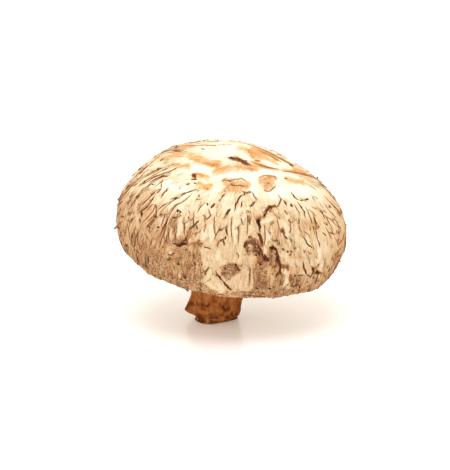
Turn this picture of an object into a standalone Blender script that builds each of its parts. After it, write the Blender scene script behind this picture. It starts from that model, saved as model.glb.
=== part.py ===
"""A fresh shiitake mushroom, standing on its cut stem.

The cap is a thick bun with an inrolled margin, and it leans. Its skin is torn into ragged plates that
point down to the margin, rounder at the crown and long on the flanks, some with their tips standing
free. Under it hangs a ring of gills, full ones between shorter ones. The stem is short and scaly.

Metres, +Z up. The origin is the middle of the stem's flat cut, which stands on the surface.
"""

import math
import random

import bmesh
import bpy
import numpy as np
from mathutils import Euler, Vector, noise

# Driving dimensions
CAP_RADIUS = 0.0342  # at the widest ring
CROWN_RISE = 0.0204  # from the widest ring up to the crown
FLANK_DROP = 0.0091  # from the widest ring down to the lowest point of the margin
MARGIN_RADIUS = 0.0304  # of that lowest point
CROWN_POWER = 2.3  # of the superellipse from crown to widest ring: 2 is an ellipse
FLANK_POWER = 2.6
LIP_WIDTH = 0.0042  # of the inrolled margin, inwards
LIP_EDGE_RADIUS = MARGIN_RADIUS - LIP_WIDTH
LIP_RISE = 0.0030
CEILING_CENTRE = 0.0030  # height of the flesh over the gills, at the axis
CEILING_EDGE = -0.0036  # and at the margin
CEILING_POWER = 1.4  # how late it dips on its way out

CAP_LEAN = Euler((math.radians(12.0), math.radians(9.0), 0.0))  # towards -Y, and towards +X
CAP_CENTRE = Vector((0.0038, 0.0012, 0.0298))  # of the widest ring

STEM_FOOT_RADIUS = 0.0071
STEM_TOP_RADIUS = 0.0079
GAP = 0.0003  # between neighbouring solids
MERGE = 0.00001  # points closer than this are one
SHARP_ANGLE = math.radians(50)
GILL_HOLE_RADIUS = STEM_TOP_RADIUS + 2 * GAP

# The outline of the cap, seen along its axis: share of the radius, waves per turn, azimuth of a crest
OUTLINE_WAVES = ((0.004, 1, 4.4), (0.008, 2, 0.4), (0.010, 3, 1.9), (0.006, 5, 0.6))
# Broad hollows (-) and bulges (+) of the cap: azimuth, distance from the crown, spread, rise
SWELLS = (
    (math.radians(178), 0.029, 0.014, -0.0016),
    (math.radians(22), 0.025, 0.012, -0.0014),
    (math.radians(-12), 0.042, 0.010, -0.0013),
    (math.radians(75), 0.012, 0.010, 0.0005),
    (math.radians(145), 0.017, 0.009, 0.0006),
    (math.radians(225), 0.044, 0.010, 0.0005),
    (math.radians(120), 0.044, 0.010, 0.0006),
)

# Mesh of the cap
CAP_COLUMNS = 64
CROWN_ROWS = 14
FLANK_ROWS = 7
LIP_ROWS = 3
CEILING_ROWS = 4
PROFILE_STEPS = 200  # of the fine curve that the rows are spaced along
LUMP_RISE = 0.0005  # of the soft lumps all over the cap
LUMP_SIZE = 0.008
NORMAL_STEP = 0.0006  # along the profile, to either side of the point whose outward direction is taken

# Plates of torn skin, in rings round the crown: rounder at the top, long and narrow on the flanks
PLATE_SEED = 15
PLATE_RINGS = 7
PLATE_TOP_ARC = 0.0105  # distance of the first ring from the crown, measured down the cap
PLATE_LAST_ARC = 0.0455  # and of the last
PLATE_WIDTH_TOP = 0.0072
PLATE_WIDTH_FLANK = 0.0054
PLATE_LENGTH_TOP = 0.0070
PLATE_LENGTH_FLANK = 0.0092
PLATE_SPACING = 1.28  # widths from one plate to the next
PLATE_RISE = 0.0007
PLATE_RISE_RANGE = (0.7, 1.3)  # of one plate, as a share of it
PLATE_SIZE_RANGE = (0.8, 1.2)
PLATE_ROOT_WIDTH = 0.7  # across its root, as a share of its width
PLATE_ROW_WIDTHS = ((0.9, 1.1), (0.75, 1.1), (0.3, 0.75))  # least and most, in each row down to its tip
PLATE_LEAN = 0.35  # the most that its tip leans aside, in widths
PLATE_NOTCH = 0.22  # the most that one corner of its tip hangs lower than the middle, in lengths
PLATE_STRAY_ROUND = 0.2  # in spaces between plates
PLATE_STRAY_DOWN = 0.25  # in lengths
PLATE_LEAST_RADIUS = 0.3 * CAP_RADIUS  # for turning a width into an angle near the crown
PLATE_ROOT = 0.0011  # depth of what is sunk in the flesh
TIP_LIFT = 0.0005  # what the tip stands higher than the plate
LOOSE_SHARE = 0.4  # of the plates: their tips stand free of the flesh
TIP_THICKNESS = 0.0008  # of a free tip

# Gills
GILL_SECTORS = 24
GILL_PATTERNS = ((0.0, 1.0), (0.58, 0.78), (0.30, 0.9), (0.58, 0.78))  # each: inner end, share of depth
GILL_THICKNESS = 0.0006
GILL_DEPTH_STEM = 0.0040
GILL_DEPTH_MARGIN = 0.0031
GILL_INNER_SLOPE = 0.004  # length over which a short gill's inner end rises
GILL_PLATE = 0.0009  # the flesh that the gills hang from
GILL_PLATE_COLUMNS = 48
GILL_SEED = 3
GILL_STRAY = 0.1  # of the space between gills

# Stem
STEM_SIDES = 32
STEM_ROWS = 15
STEM_BEND_LOW = 0.50  # share of its height where it leaves the upright
STEM_BEND_HIGH = 0.38  # and where it joins the cap's axis
STEM_FOOT_BEVEL = 0.0002
STEM_CUT_SPARE = 0.0010  # what the cut takes off its foot
STEM_SCALE_RISE = 0.0007
STEM_SCALE_WAVES = 7  # long ridges round the stem
STEM_SCALE_HEIGHT = 0.0038  # of one scale
STEM_RIDGE_SHARE = 0.35  # of the scales' rise that is in the long ridges
STEM_PATCH_SHARE = 1.3  # and in the patches
STEM_PATCH_ROUND = 2.1  # patches round the stem, for each of its radians
STEM_RIDGE_SWAY = 2.5  # radians that the ridges sway aside, and how fast, in radians a scale
STEM_RIDGE_TURN = 1.2
STEM_FOOT_CALM = 0.4  # share of the relief that is left at the foot
STEM_SMOOTH_FROM = 0.0135  # height where the scales begin to fade, under the gills
STEM_SMOOTH_TO = 0.0195


def clear_scene():
    """Removes every object of the scene."""
    for obj in list(bpy.data.objects):
        bpy.data.objects.remove(obj, do_unlink=True)


def new_collection(name):
    """A collection in the scene."""
    collection = bpy.data.collections.new(name)
    bpy.context.scene.collection.children.link(collection)
    return collection


def material(name, colour, roughness):
    """A plain surface of one colour."""
    made = bpy.data.materials.new(name)
    made.use_nodes = True
    shader = made.node_tree.nodes["Principled BSDF"]
    shader.inputs["Base Color"].default_value = (*colour, 1.0)
    shader.inputs["Roughness"].default_value = roughness
    shader.inputs["Metallic"].default_value = 0.0
    return made


def baked(obj, merge=True):
    """Replaces obj's data by its evaluated mesh, welded where it is a turned or curve shape."""
    bpy.context.view_layer.update()
    graph = bpy.context.evaluated_depsgraph_get()
    mesh = bpy.data.meshes.new_from_object(obj.evaluated_get(graph))
    if merge:
        shape = bmesh.new()
        shape.from_mesh(mesh)
        bmesh.ops.remove_doubles(shape, verts=shape.verts, dist=MERGE)
        shape.to_mesh(mesh)
        shape.free()
    if obj.type == "MESH":
        obj.modifiers.clear()
        obj.data = mesh
        return obj
    made = bpy.data.objects.new(obj.name + "_mesh", mesh)
    obj.users_collection[0].objects.link(made)
    made.matrix_world = obj.matrix_world
    bpy.data.objects.remove(obj, do_unlink=True)
    return made


def turned(name, profile, columns, collection, closed=False):
    """A profile of (radius, height) points, turned about Z."""
    count = len(profile)
    edges = [(i, (i + 1) % count) for i in range(count if closed else count - 1)]
    mesh = bpy.data.meshes.new(name)
    mesh.from_pydata([(r, 0.0, z) for r, z in profile], edges, [])
    obj = bpy.data.objects.new(name, mesh)
    collection.objects.link(obj)
    screw = obj.modifiers.new("turn", "SCREW")
    screw.steps = screw.render_steps = columns
    screw.use_merge_vertices = True
    screw.merge_threshold = MERGE
    return baked(obj)


def superellipse(across, up, power, count):
    """Points of a quarter superellipse, from its top to its side."""
    turns = np.linspace(math.pi / 2, 0.0, count)
    share = 2.0 / power
    return [(across * math.cos(t) ** share, up * math.sin(t) ** share) for t in turns]


def evenly(points, count):
    """The same line with count points, evenly spaced along it."""
    line = np.array(points)
    along = np.concatenate([[0.0], np.cumsum(np.linalg.norm(np.diff(line, axis=0), axis=1))])
    at = np.linspace(0.0, along[-1], count)
    return [(float(np.interp(a, along, line[:, 0])), float(np.interp(a, along, line[:, 1]))) for a in at]


def outer_profile():
    """From the crown over the widest ring to the lowest point of the margin."""
    crown = superellipse(CAP_RADIUS, CROWN_RISE, CROWN_POWER, PROFILE_STEPS)
    below = superellipse(CAP_RADIUS - MARGIN_RADIUS, FLANK_DROP, FLANK_POWER, PROFILE_STEPS)
    flank = [(MARGIN_RADIUS + r, -z) for r, z in reversed(below)]
    return evenly(crown, CROWN_ROWS)[:-1] + evenly(flank, FLANK_ROWS)


def ceiling(radius):
    """Height of the flesh over the gills: level over the stem, and lower towards the margin."""
    share = max(radius - GILL_HOLE_RADIUS, 0.0) / (LIP_EDGE_RADIUS - GILL_HOLE_RADIUS)
    return CEILING_CENTRE + (CEILING_EDGE - CEILING_CENTRE) * share**CEILING_POWER


def lip_profile():
    """The inrolled margin, from its lowest point round to its inner edge."""
    turns = [math.pi / 2 * i / (LIP_ROWS - 1) for i in range(LIP_ROWS)]
    return [
        (MARGIN_RADIUS - LIP_WIDTH * math.sin(t), -FLANK_DROP + LIP_RISE * (1 - math.cos(t)))
        for t in turns
    ]


CAP_OUTER = outer_profile()
OUTER_RADII, OUTER_HEIGHTS = np.array(CAP_OUTER).T
OUTER_ARCS = np.concatenate([[0.0], np.cumsum(np.hypot(np.diff(OUTER_RADII), np.diff(OUTER_HEIGHTS)))])
OUTER_REACH = float(OUTER_ARCS[-1])


def ceiling_profile():
    """Points of the ceiling from the margin to the stem."""
    radii = np.linspace(LIP_EDGE_RADIUS, GILL_HOLE_RADIUS, CEILING_ROWS)
    return [(radius, ceiling(radius)) for radius in radii]


def cap_profile():
    """The whole section of the cap's flesh."""
    return CAP_OUTER + lip_profile()[1:] + ceiling_profile() + [(0.0, CEILING_CENTRE)]


def radius_at(arc):
    """Distance from the axis of the skin at a distance from the crown, measured down the cap."""
    return float(np.interp(arc, OUTER_ARCS, OUTER_RADII))


def outline_share(azimuth):
    """How far the cap's outline reaches at an azimuth, as a share of its round radius."""
    return 1.0 + sum(size * math.cos(waves * (azimuth - crest)) for size, waves, crest in OUTLINE_WAVES)


def turn_between(a, b):
    """The signed angle from b to a, at most half a turn."""
    return (a - b + math.pi) % (2 * math.pi) - math.pi


def swell(azimuth, arc):
    """Rise of the cap's broad bulges and hollows at a place on the skin."""
    total = 0.0
    for at_azimuth, at_arc, spread, rise in SWELLS:
        across = turn_between(azimuth, at_azimuth) * radius_at(arc)
        total += rise * math.exp(-(across**2 + (arc - at_arc) ** 2) / (2 * spread**2))
    return total


def smooth(value):
    """An even S from 0 to 1."""
    value = min(max(value, 0.0), 1.0)
    return value * value * (3 - 2 * value)


def skin_relief(azimuth, arc):
    """Everything that stands out from the turned bun, without its plates."""
    place = Vector((math.cos(azimuth), math.sin(azimuth), 0.0)) * radius_at(arc) + Vector((0, 0, arc))
    return swell(azimuth, arc) + LUMP_RISE * noise.noise(place / LUMP_SIZE)


def cap_outward(azimuth, arc):
    """The bun's outward direction, from its profile."""
    ends = (max(arc - NORMAL_STEP, 0.0), min(arc + NORMAL_STEP, OUTER_REACH))
    up = float(np.diff(np.interp(ends, OUTER_ARCS, OUTER_RADII))[0])
    out = -float(np.diff(np.interp(ends, OUTER_ARCS, OUTER_HEIGHTS))[0])
    return Vector((out * math.cos(azimuth), out * math.sin(azimuth), up)).normalized()


def skin_point(azimuth, arc, above=0.0):
    """A point of the finished skin, or above it."""
    radius = radius_at(arc)
    height = float(np.interp(arc, OUTER_ARCS, OUTER_HEIGHTS))
    base = Vector((radius * math.cos(azimuth), radius * math.sin(azimuth), height))
    point = base + cap_outward(azimuth, arc) * (skin_relief(azimuth, arc) + above)
    share = outline_share(azimuth)
    return Vector((point.x * share, point.y * share, point.z))


def shape_cap(cap):
    """Moves the turned bun's points: the skin by its relief, and all of them by the cap's outline."""
    for vertex in cap.data.vertices:
        x, y, z = vertex.co
        radius, azimuth = math.hypot(x, y), math.atan2(y, x)
        apart = np.hypot(OUTER_RADII - radius, OUTER_HEIGHTS - z)
        row = int(apart.argmin())
        if apart[row] < MERGE:
            vertex.co = skin_point(azimuth, float(OUTER_ARCS[row]))
        else:
            share = outline_share(azimuth)
            vertex.co = (x * share, y * share, z)


def join_all(obj, collection):
    """Joins every object of a collection to obj by one Boolean union, and removes them."""
    union = obj.modifiers.new("join", "BOOLEAN")
    union.operation = "UNION"
    union.operand_type = "COLLECTION"
    union.collection = collection
    union.solver = "MANIFOLD"
    baked(obj, merge=False)
    for other in list(collection.objects):
        bpy.data.objects.remove(other, do_unlink=True)
    bpy.data.collections.remove(collection)
    keep_largest_shell(obj)


def keep_largest_shell(obj):
    """Drops loose scraps, and fills the small hollows that a union sealed."""
    shape = bmesh.new()
    shape.from_mesh(obj.data)
    shells, seen = [], set()
    for start in shape.verts:
        if start in seen:
            continue
        seen.add(start)
        shell, waiting = [], [start]
        while waiting:
            vertex = waiting.pop()
            shell.append(vertex)
            near = {edge.other_vert(vertex) for edge in vertex.link_edges} - seen
            seen |= near
            waiting.extend(near)
        shells.append(shell)
    shells.sort(key=len)
    for shell in shells[:-1]:
        bmesh.ops.delete(shape, geom=shell, context="VERTS")
    shape.to_mesh(obj.data)
    shape.free()


def plate(azimuth, arc, width, length, loose, chance, collection):
    """One plate of skin: a ragged tongue that points down the cap, its root sunk in the flesh."""
    shape = bmesh.new()
    bmesh.ops.create_cube(shape, size=1.0)
    long_edges = [e for e in shape.edges if abs(e.verts[0].co.y - e.verts[1].co.y) > 0.5]
    bmesh.ops.subdivide_edges(shape, edges=long_edges, cuts=len(PLATE_ROW_WIDTHS) - 1, use_grid_fill=True)
    turn_per_metre = 1.0 / max(radius_at(arc), PLATE_LEAST_RADIUS)
    rise = PLATE_RISE * chance.uniform(*PLATE_RISE_RANGE)
    widths = [PLATE_ROOT_WIDTH] + [chance.uniform(*least_most) for least_most in PLATE_ROW_WIDTHS]
    lean = chance.uniform(-PLATE_LEAN, PLATE_LEAN) * width
    notch = chance.uniform(-PLATE_NOTCH, PLATE_NOTCH)
    last = len(PLATE_ROW_WIDTHS)
    for vertex in shape.verts:
        across, down, upper = vertex.co.x, vertex.co.y + 0.5, vertex.co.z > 0
        row = round(down * last)
        top = rise + TIP_LIFT * down**2 if row else -0.2 * rise
        free = loose and row == last
        above = top if upper else (top - TIP_THICKNESS if free else -PLATE_ROOT)
        sideways = across * widths[row] * width + lean * down**2
        at_arc = arc + length * (down - 0.5 + notch * across * (row == last))
        vertex.co = skin_point(azimuth - sideways * turn_per_metre, min(at_arc, OUTER_REACH), above)
    mesh = bpy.data.meshes.new("plate")
    shape.to_mesh(mesh)
    shape.free()
    collection.objects.link(bpy.data.objects.new("plate", mesh))


def add_plates(cap):
    """Rings of plates, each ring turned against the one above it."""
    chance = random.Random(PLATE_SEED)
    plates = new_collection("plates")
    for ring in range(PLATE_RINGS):
        share = ring / (PLATE_RINGS - 1)
        arc = PLATE_TOP_ARC + (PLATE_LAST_ARC - PLATE_TOP_ARC) * share
        width = PLATE_WIDTH_TOP + (PLATE_WIDTH_FLANK - PLATE_WIDTH_TOP) * share
        length = PLATE_LENGTH_TOP + (PLATE_LENGTH_FLANK - PLATE_LENGTH_TOP) * share
        count = round(2 * math.pi * radius_at(arc) / (width * PLATE_SPACING))
        for i in range(count):
            place = i + 0.5 * (ring % 2) + chance.uniform(-PLATE_STRAY_ROUND, PLATE_STRAY_ROUND)
            at_arc = arc + chance.uniform(-PLATE_STRAY_DOWN, PLATE_STRAY_DOWN) * length
            size = chance.uniform(*PLATE_SIZE_RANGE)
            loose = chance.random() < LOOSE_SHARE
            azimuth = place / count * 2 * math.pi
            plate(azimuth, at_arc, width * size, length * size, loose, chance, plates)
    join_all(cap, plates)


def gill_outline(inner, depth_share):
    """Side view of a gill as (radius, height) points: its top sunk in the gill plate, its edge below."""
    outer = LIP_EDGE_RADIUS - 3 * GAP
    radii = np.linspace(outer, inner, CEILING_ROWS)
    top = [(r, ceiling(r) - GAP - GILL_PLATE / 2) for r in radii]
    edge = []
    for r in reversed(radii):
        share = (r - GILL_HOLE_RADIUS) / (outer - GILL_HOLE_RADIUS)
        depth = GILL_DEPTH_STEM + (GILL_DEPTH_MARGIN - GILL_DEPTH_STEM) * share
        short = inner > GILL_HOLE_RADIUS + GAP
        grow = smooth((r - inner) / GILL_INNER_SLOPE + 0.35) if short else 1.0
        edge.append((r, ceiling(r) - GAP - GILL_PLATE - depth * depth_share * grow))
    return top + edge


def gill_blade(name, inner, depth_share, collection):
    """One gill along +X, cut from a flat outline."""
    curve = bpy.data.curves.new(name, "CURVE")
    curve.dimensions = "2D"
    curve.fill_mode = "BOTH"
    curve.extrude = GILL_THICKNESS / 2
    points = gill_outline(inner, depth_share)
    spline = curve.splines.new("POLY")
    spline.points.add(len(points) - 1)
    for point, (radius, height) in zip(spline.points, points):
        point.co = (radius, height, 0.0, 1.0)
    spline.use_cyclic_u = True
    obj = bpy.data.objects.new(name, curve)
    obj.rotation_euler = Euler((math.pi / 2, 0.0, 0.0))
    collection.objects.link(obj)
    return baked(obj)


def build_gills(collection):
    """A ring of gills under the cap's flesh, on the thin plate that they hang from."""
    outer = LIP_EDGE_RADIUS - 2 * GAP
    radii = np.linspace(GILL_HOLE_RADIUS, outer, CEILING_ROWS)
    top = [(r, ceiling(r) - GAP) for r in radii]
    under = [(r, ceiling(r) - GAP - GILL_PLATE) for r in reversed(radii)]
    gills = turned("gills", top + under, GILL_PLATE_COLUMNS, collection, closed=True)
    blades = new_collection("gill_blades")
    first = GILL_HOLE_RADIUS + GAP
    patterns = [
        gill_blade(f"gill_{i}", first + (outer - GILL_HOLE_RADIUS) * start, depth, blades)
        for i, (start, depth) in enumerate(GILL_PATTERNS)
    ]
    chance = random.Random(GILL_SEED)
    for sector in range(GILL_SECTORS):
        for i, pattern in enumerate(patterns):
            place = sector + (i + chance.uniform(-GILL_STRAY, GILL_STRAY)) / len(patterns)
            copy = bpy.data.objects.new(f"gill_{sector}_{i}", pattern.data)
            copy.rotation_euler = Euler((math.pi / 2, 0.0, 2 * math.pi * place / GILL_SECTORS))
            blades.objects.link(copy)
    for pattern in patterns:
        bpy.data.objects.remove(pattern, do_unlink=True)
    join_all(gills, blades)
    for vertex in gills.data.vertices:
        share = outline_share(math.atan2(vertex.co.y, vertex.co.x))
        vertex.co.x *= share
        vertex.co.y *= share
    return gills


def stem_spine(share):
    """A point of the stem's middle line: upright at its foot, and along the cap's axis at the top."""
    axis = CAP_LEAN.to_matrix() @ Vector((0.0, 0.0, 1.0))
    foot = Vector((0.0, 0.0, -STEM_CUT_SPARE))
    top = CAP_CENTRE + axis * (CEILING_CENTRE - GAP)
    lower = Vector((0.0, 0.0, top.z * STEM_BEND_LOW))
    upper = top - axis * (top.z * STEM_BEND_HIGH)
    rest = 1.0 - share
    bent = lower * (3 * rest**2 * share) + upper * (3 * rest * share**2)
    return foot * rest**3 + bent + top * share**3


def stem_radius(share):
    """Narrow at the cut, with its edge rubbed round, and wider where it enters the gills."""
    worn = STEM_FOOT_BEVEL * math.exp(-share * STEM_ROWS * 2)
    return STEM_FOOT_RADIUS + (STEM_TOP_RADIUS - STEM_FOOT_RADIUS) * smooth(share * 1.5) - worn


def stem_relief(azimuth, height):
    """Scales and long ridges of the stem's skin, fading out under the gills and shallow at the foot."""
    fade = smooth((STEM_SMOOTH_TO - height) / (STEM_SMOOTH_TO - STEM_SMOOTH_FROM))
    fade *= STEM_FOOT_CALM + (1 - STEM_FOOT_CALM) * smooth(height / STEM_SCALE_HEIGHT)
    rows = height / STEM_SCALE_HEIGHT
    ridges = math.sin(STEM_SCALE_WAVES * azimuth + STEM_RIDGE_SWAY * math.sin(STEM_RIDGE_TURN * rows))
    around = Vector((math.cos(azimuth), math.sin(azimuth), 0.0)) * STEM_PATCH_ROUND
    patches = noise.noise(around + Vector((0.0, 0.0, rows)))
    return STEM_SCALE_RISE * fade * (STEM_RIDGE_SHARE * ridges + STEM_PATCH_SHARE * patches)


def cut_flat(stem):
    """Takes off what lies below the surface that the stem stands on, and closes the cut."""
    shape = bmesh.new()
    shape.from_mesh(stem.data)
    everything = shape.verts[:] + shape.edges[:] + shape.faces[:]
    bmesh.ops.bisect_plane(
        shape, geom=everything, plane_co=(0, 0, 0), plane_no=(0, 0, -1), clear_outer=True
    )
    bmesh.ops.holes_fill(shape, edges=[edge for edge in shape.edges if edge.is_boundary])
    shape.to_mesh(stem.data)
    shape.free()


def build_stem(collection):
    """A bent, tapering tube along the spine, with its skin in relief."""
    curve = bpy.data.curves.new("stem_curve", "CURVE")
    curve.dimensions = "3D"
    curve.bevel_depth = 1.0
    curve.bevel_resolution = (STEM_SIDES - 4) // 2
    curve.use_fill_caps = True
    spline = curve.splines.new("POLY")
    spline.points.add(STEM_ROWS - 1)
    shares = [row / (STEM_ROWS - 1) for row in range(STEM_ROWS)]
    middles = [stem_spine(share) for share in shares]
    for point, middle, share in zip(spline.points, middles, shares):
        point.co = (*middle, 1.0)
        point.radius = stem_radius(share)
    obj = bpy.data.objects.new("stem_curve", curve)
    collection.objects.link(obj)
    stem = baked(obj)
    stem.name = "stem"
    heights = [middle.z for middle in middles]
    for vertex in stem.data.vertices:
        height = vertex.co.z
        middle_x = float(np.interp(height, heights, [middle.x for middle in middles]))
        middle_y = float(np.interp(height, heights, [middle.y for middle in middles]))
        out = Vector((vertex.co.x - middle_x, vertex.co.y - middle_y, 0.0))
        if out.length > STEM_FOOT_RADIUS / 2:
            vertex.co += out.normalized() * stem_relief(math.atan2(out.y, out.x), height)
    cut_flat(stem)
    return stem


def finish(obj, surface):
    """Gives a piece its surface, smooth across soft edges and crisp at the torn ones."""
    obj.data.materials.clear()
    obj.data.materials.append(surface)
    obj.data.shade_smooth()
    obj.data.set_sharp_from_angle(angle=SHARP_ANGLE)


def main():
    """Builds the cap and its gills on one leaning frame, and the stem under them."""
    clear_scene()
    mushroom = new_collection("shiitake_mushroom")
    lean = bpy.data.objects.new("cap_lean", None)
    lean.location = CAP_CENTRE
    lean.rotation_euler = CAP_LEAN
    mushroom.objects.link(lean)

    cap = turned("cap", cap_profile(), CAP_COLUMNS, mushroom)
    shape_cap(cap)
    add_plates(cap)
    cap.parent = lean
    finish(cap, material("cap_skin", (0.72, 0.52, 0.32), 0.85))

    gills = build_gills(mushroom)
    gills.parent = lean
    finish(gills, material("gill", (0.86, 0.74, 0.55), 0.8))

    stem = build_stem(mushroom)
    finish(stem, material("stem_skin", (0.36, 0.17, 0.07), 0.85))


main()
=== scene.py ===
"""Looks of a fresh shiitake mushroom: a torn, scaly cap on a short fibrous stem, over hidden gills.

The cap's skin is one fine relief that strokes are laid on: cream flesh, tan peel, brown shredded skin,
cracks and fibres. On the side that the photograph shows, the strokes follow its pixels, and elsewhere a
seeded rule lays strokes of the same kinds. Thin cracks and fibres are ribbons let into the skin, because
its points lie too far apart to draw them sharply. Loose shreds and fibres, the gills and the stem are
pieces of their own. Lengths are metres, and a stroke's sizes are pixels of the photograph at the mushroom.
"""

import logging
import math
import random
from dataclasses import dataclass, field
from enum import Enum
from typing import Iterable, Sequence

import bmesh
import bpy
import numpy as np
from mathutils import Euler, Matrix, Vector, noise

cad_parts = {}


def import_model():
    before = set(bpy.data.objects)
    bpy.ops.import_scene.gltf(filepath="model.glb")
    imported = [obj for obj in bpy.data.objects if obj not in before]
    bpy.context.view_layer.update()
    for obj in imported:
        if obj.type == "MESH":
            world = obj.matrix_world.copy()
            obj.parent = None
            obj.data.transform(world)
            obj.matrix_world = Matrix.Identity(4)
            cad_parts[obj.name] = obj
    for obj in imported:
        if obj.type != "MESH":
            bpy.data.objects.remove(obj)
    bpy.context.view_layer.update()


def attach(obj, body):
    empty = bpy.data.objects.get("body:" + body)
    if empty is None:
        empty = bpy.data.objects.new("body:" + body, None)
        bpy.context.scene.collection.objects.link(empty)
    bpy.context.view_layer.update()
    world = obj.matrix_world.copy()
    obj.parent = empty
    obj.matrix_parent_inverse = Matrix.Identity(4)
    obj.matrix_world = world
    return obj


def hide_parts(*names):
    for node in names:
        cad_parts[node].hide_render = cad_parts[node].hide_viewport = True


log = logging.getLogger("mushroom")

MM = 0.001
PIXEL = 0.303 * MM  # what one pixel of the photograph spans at the mushroom
THIN = 3.6  # the widest crack or fibre that is laid as a ribbon, in pixels
OUTLINE_TONE = 0.8
OUTLINE_HALF = 0.6  # half the width of a plate's outline, in pixels
ROOT = "root"

Pair = tuple[float, float]
Triple = tuple[float, float, float]
Stops = tuple[tuple[float, Triple], ...]  # places on a colour ramp, each with its colour
NodeSocket = bpy.types.NodeSocket
Array = np.ndarray
BMesh = bmesh.types.BMesh


def smooth(value: Array) -> Array:
    """An even S from 0 to 1, for an array of any numbers."""
    value = np.clip(value, 0.0, 1.0)
    return value * value * (3.0 - 2.0 * value)


def noise_at(points: Array, size: float, octaves: int = 1, shift: float = 0.0) -> Array:
    """Noise at many points.

    Args:
        points: rows of x, y and z, in any unit.
        size: the width of a blob, in that unit.
        octaves: how many times finer noise of half the size and strength is added.
        shift: moves the pattern, so that two patterns differ.

    Returns:
        One number a point, mostly between -1 and 1.
    """
    total = np.zeros(len(points))
    for octave in range(octaves):
        scaled = (points * (2**octave / size) + shift + 17.3 * octave).tolist()
        total += np.fromiter((noise.noise(p) for p in scaled), float, len(points)) / 2**octave
    return total


def wrapped(turn: "Array | float") -> "Array | float":
    """An angle brought between half a turn back and half a turn on."""
    return (turn + math.pi) % (2 * math.pi) - math.pi


def polar(radius: "Array | float", azimuth: Array, height: Array) -> Array:
    """Rows of x, y and z from radii, azimuths and heights."""
    return np.column_stack((radius * np.cos(azimuth), radius * np.sin(azimuth), height))


def linear(red: int, green: int, blue: int) -> Triple:
    """A screen colour as the shader's linear light.

    Args:
        red: from 0 to 255, as the next two.
        green: the second channel.
        blue: the third.

    Returns:
        The colour.
    """

    def one(value: float) -> float:
        """One channel."""
        return value / 12.92 if value <= 0.04045 else ((value + 0.055) / 1.055) ** 2.4

    return one(red / 255), one(green / 255), one(blue / 255)


@dataclass(frozen=True)
class PhotoView:
    """The camera of the photograph, and where it puts a point in the picture."""

    width: int = 450
    height: int = 470
    elevation: float = math.radians(13.0)
    distance: float = 0.50
    target: Triple = (0.00202, 0.00039, 0.0262)
    lens: float = 126.9
    sensor: float = 36.0

    @property
    def toward(self) -> Vector:
        """The direction the camera looks in."""
        return Vector((0.0, math.cos(self.elevation), -math.sin(self.elevation)))

    @property
    def place(self) -> Vector:
        """Where the camera stands."""
        return Vector(self.target) - self.toward * self.distance

    def project(self, points: Array) -> tuple[Array, Array]:
        """Where points show in the picture.

        Args:
            points: rows of x, y and z in the world.

        Returns:
            Their pixel columns and rows.
        """
        toward = np.array(self.toward)
        up = np.array((0.0, math.sin(self.elevation), math.cos(self.elevation)))
        offset = points - np.array(self.place)
        focal = self.lens / self.sensor * self.height / (offset @ toward)
        return self.width / 2 + offset[:, 0] * focal, self.height / 2 - (offset @ up) * focal

    def facing(self, points: Array, outward: Array) -> Array:
        """How squarely surfaces face the camera.

        Args:
            points: rows of x, y and z in the world.
            outward: the way that the surface faces at each.

        Returns:
            1 where it is square on, and less than 0 where it faces away.
        """
        sight = points - np.array(self.place)
        sight /= np.linalg.norm(sight, axis=1, keepdims=True)
        return -(outward * sight).sum(axis=1)


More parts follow.
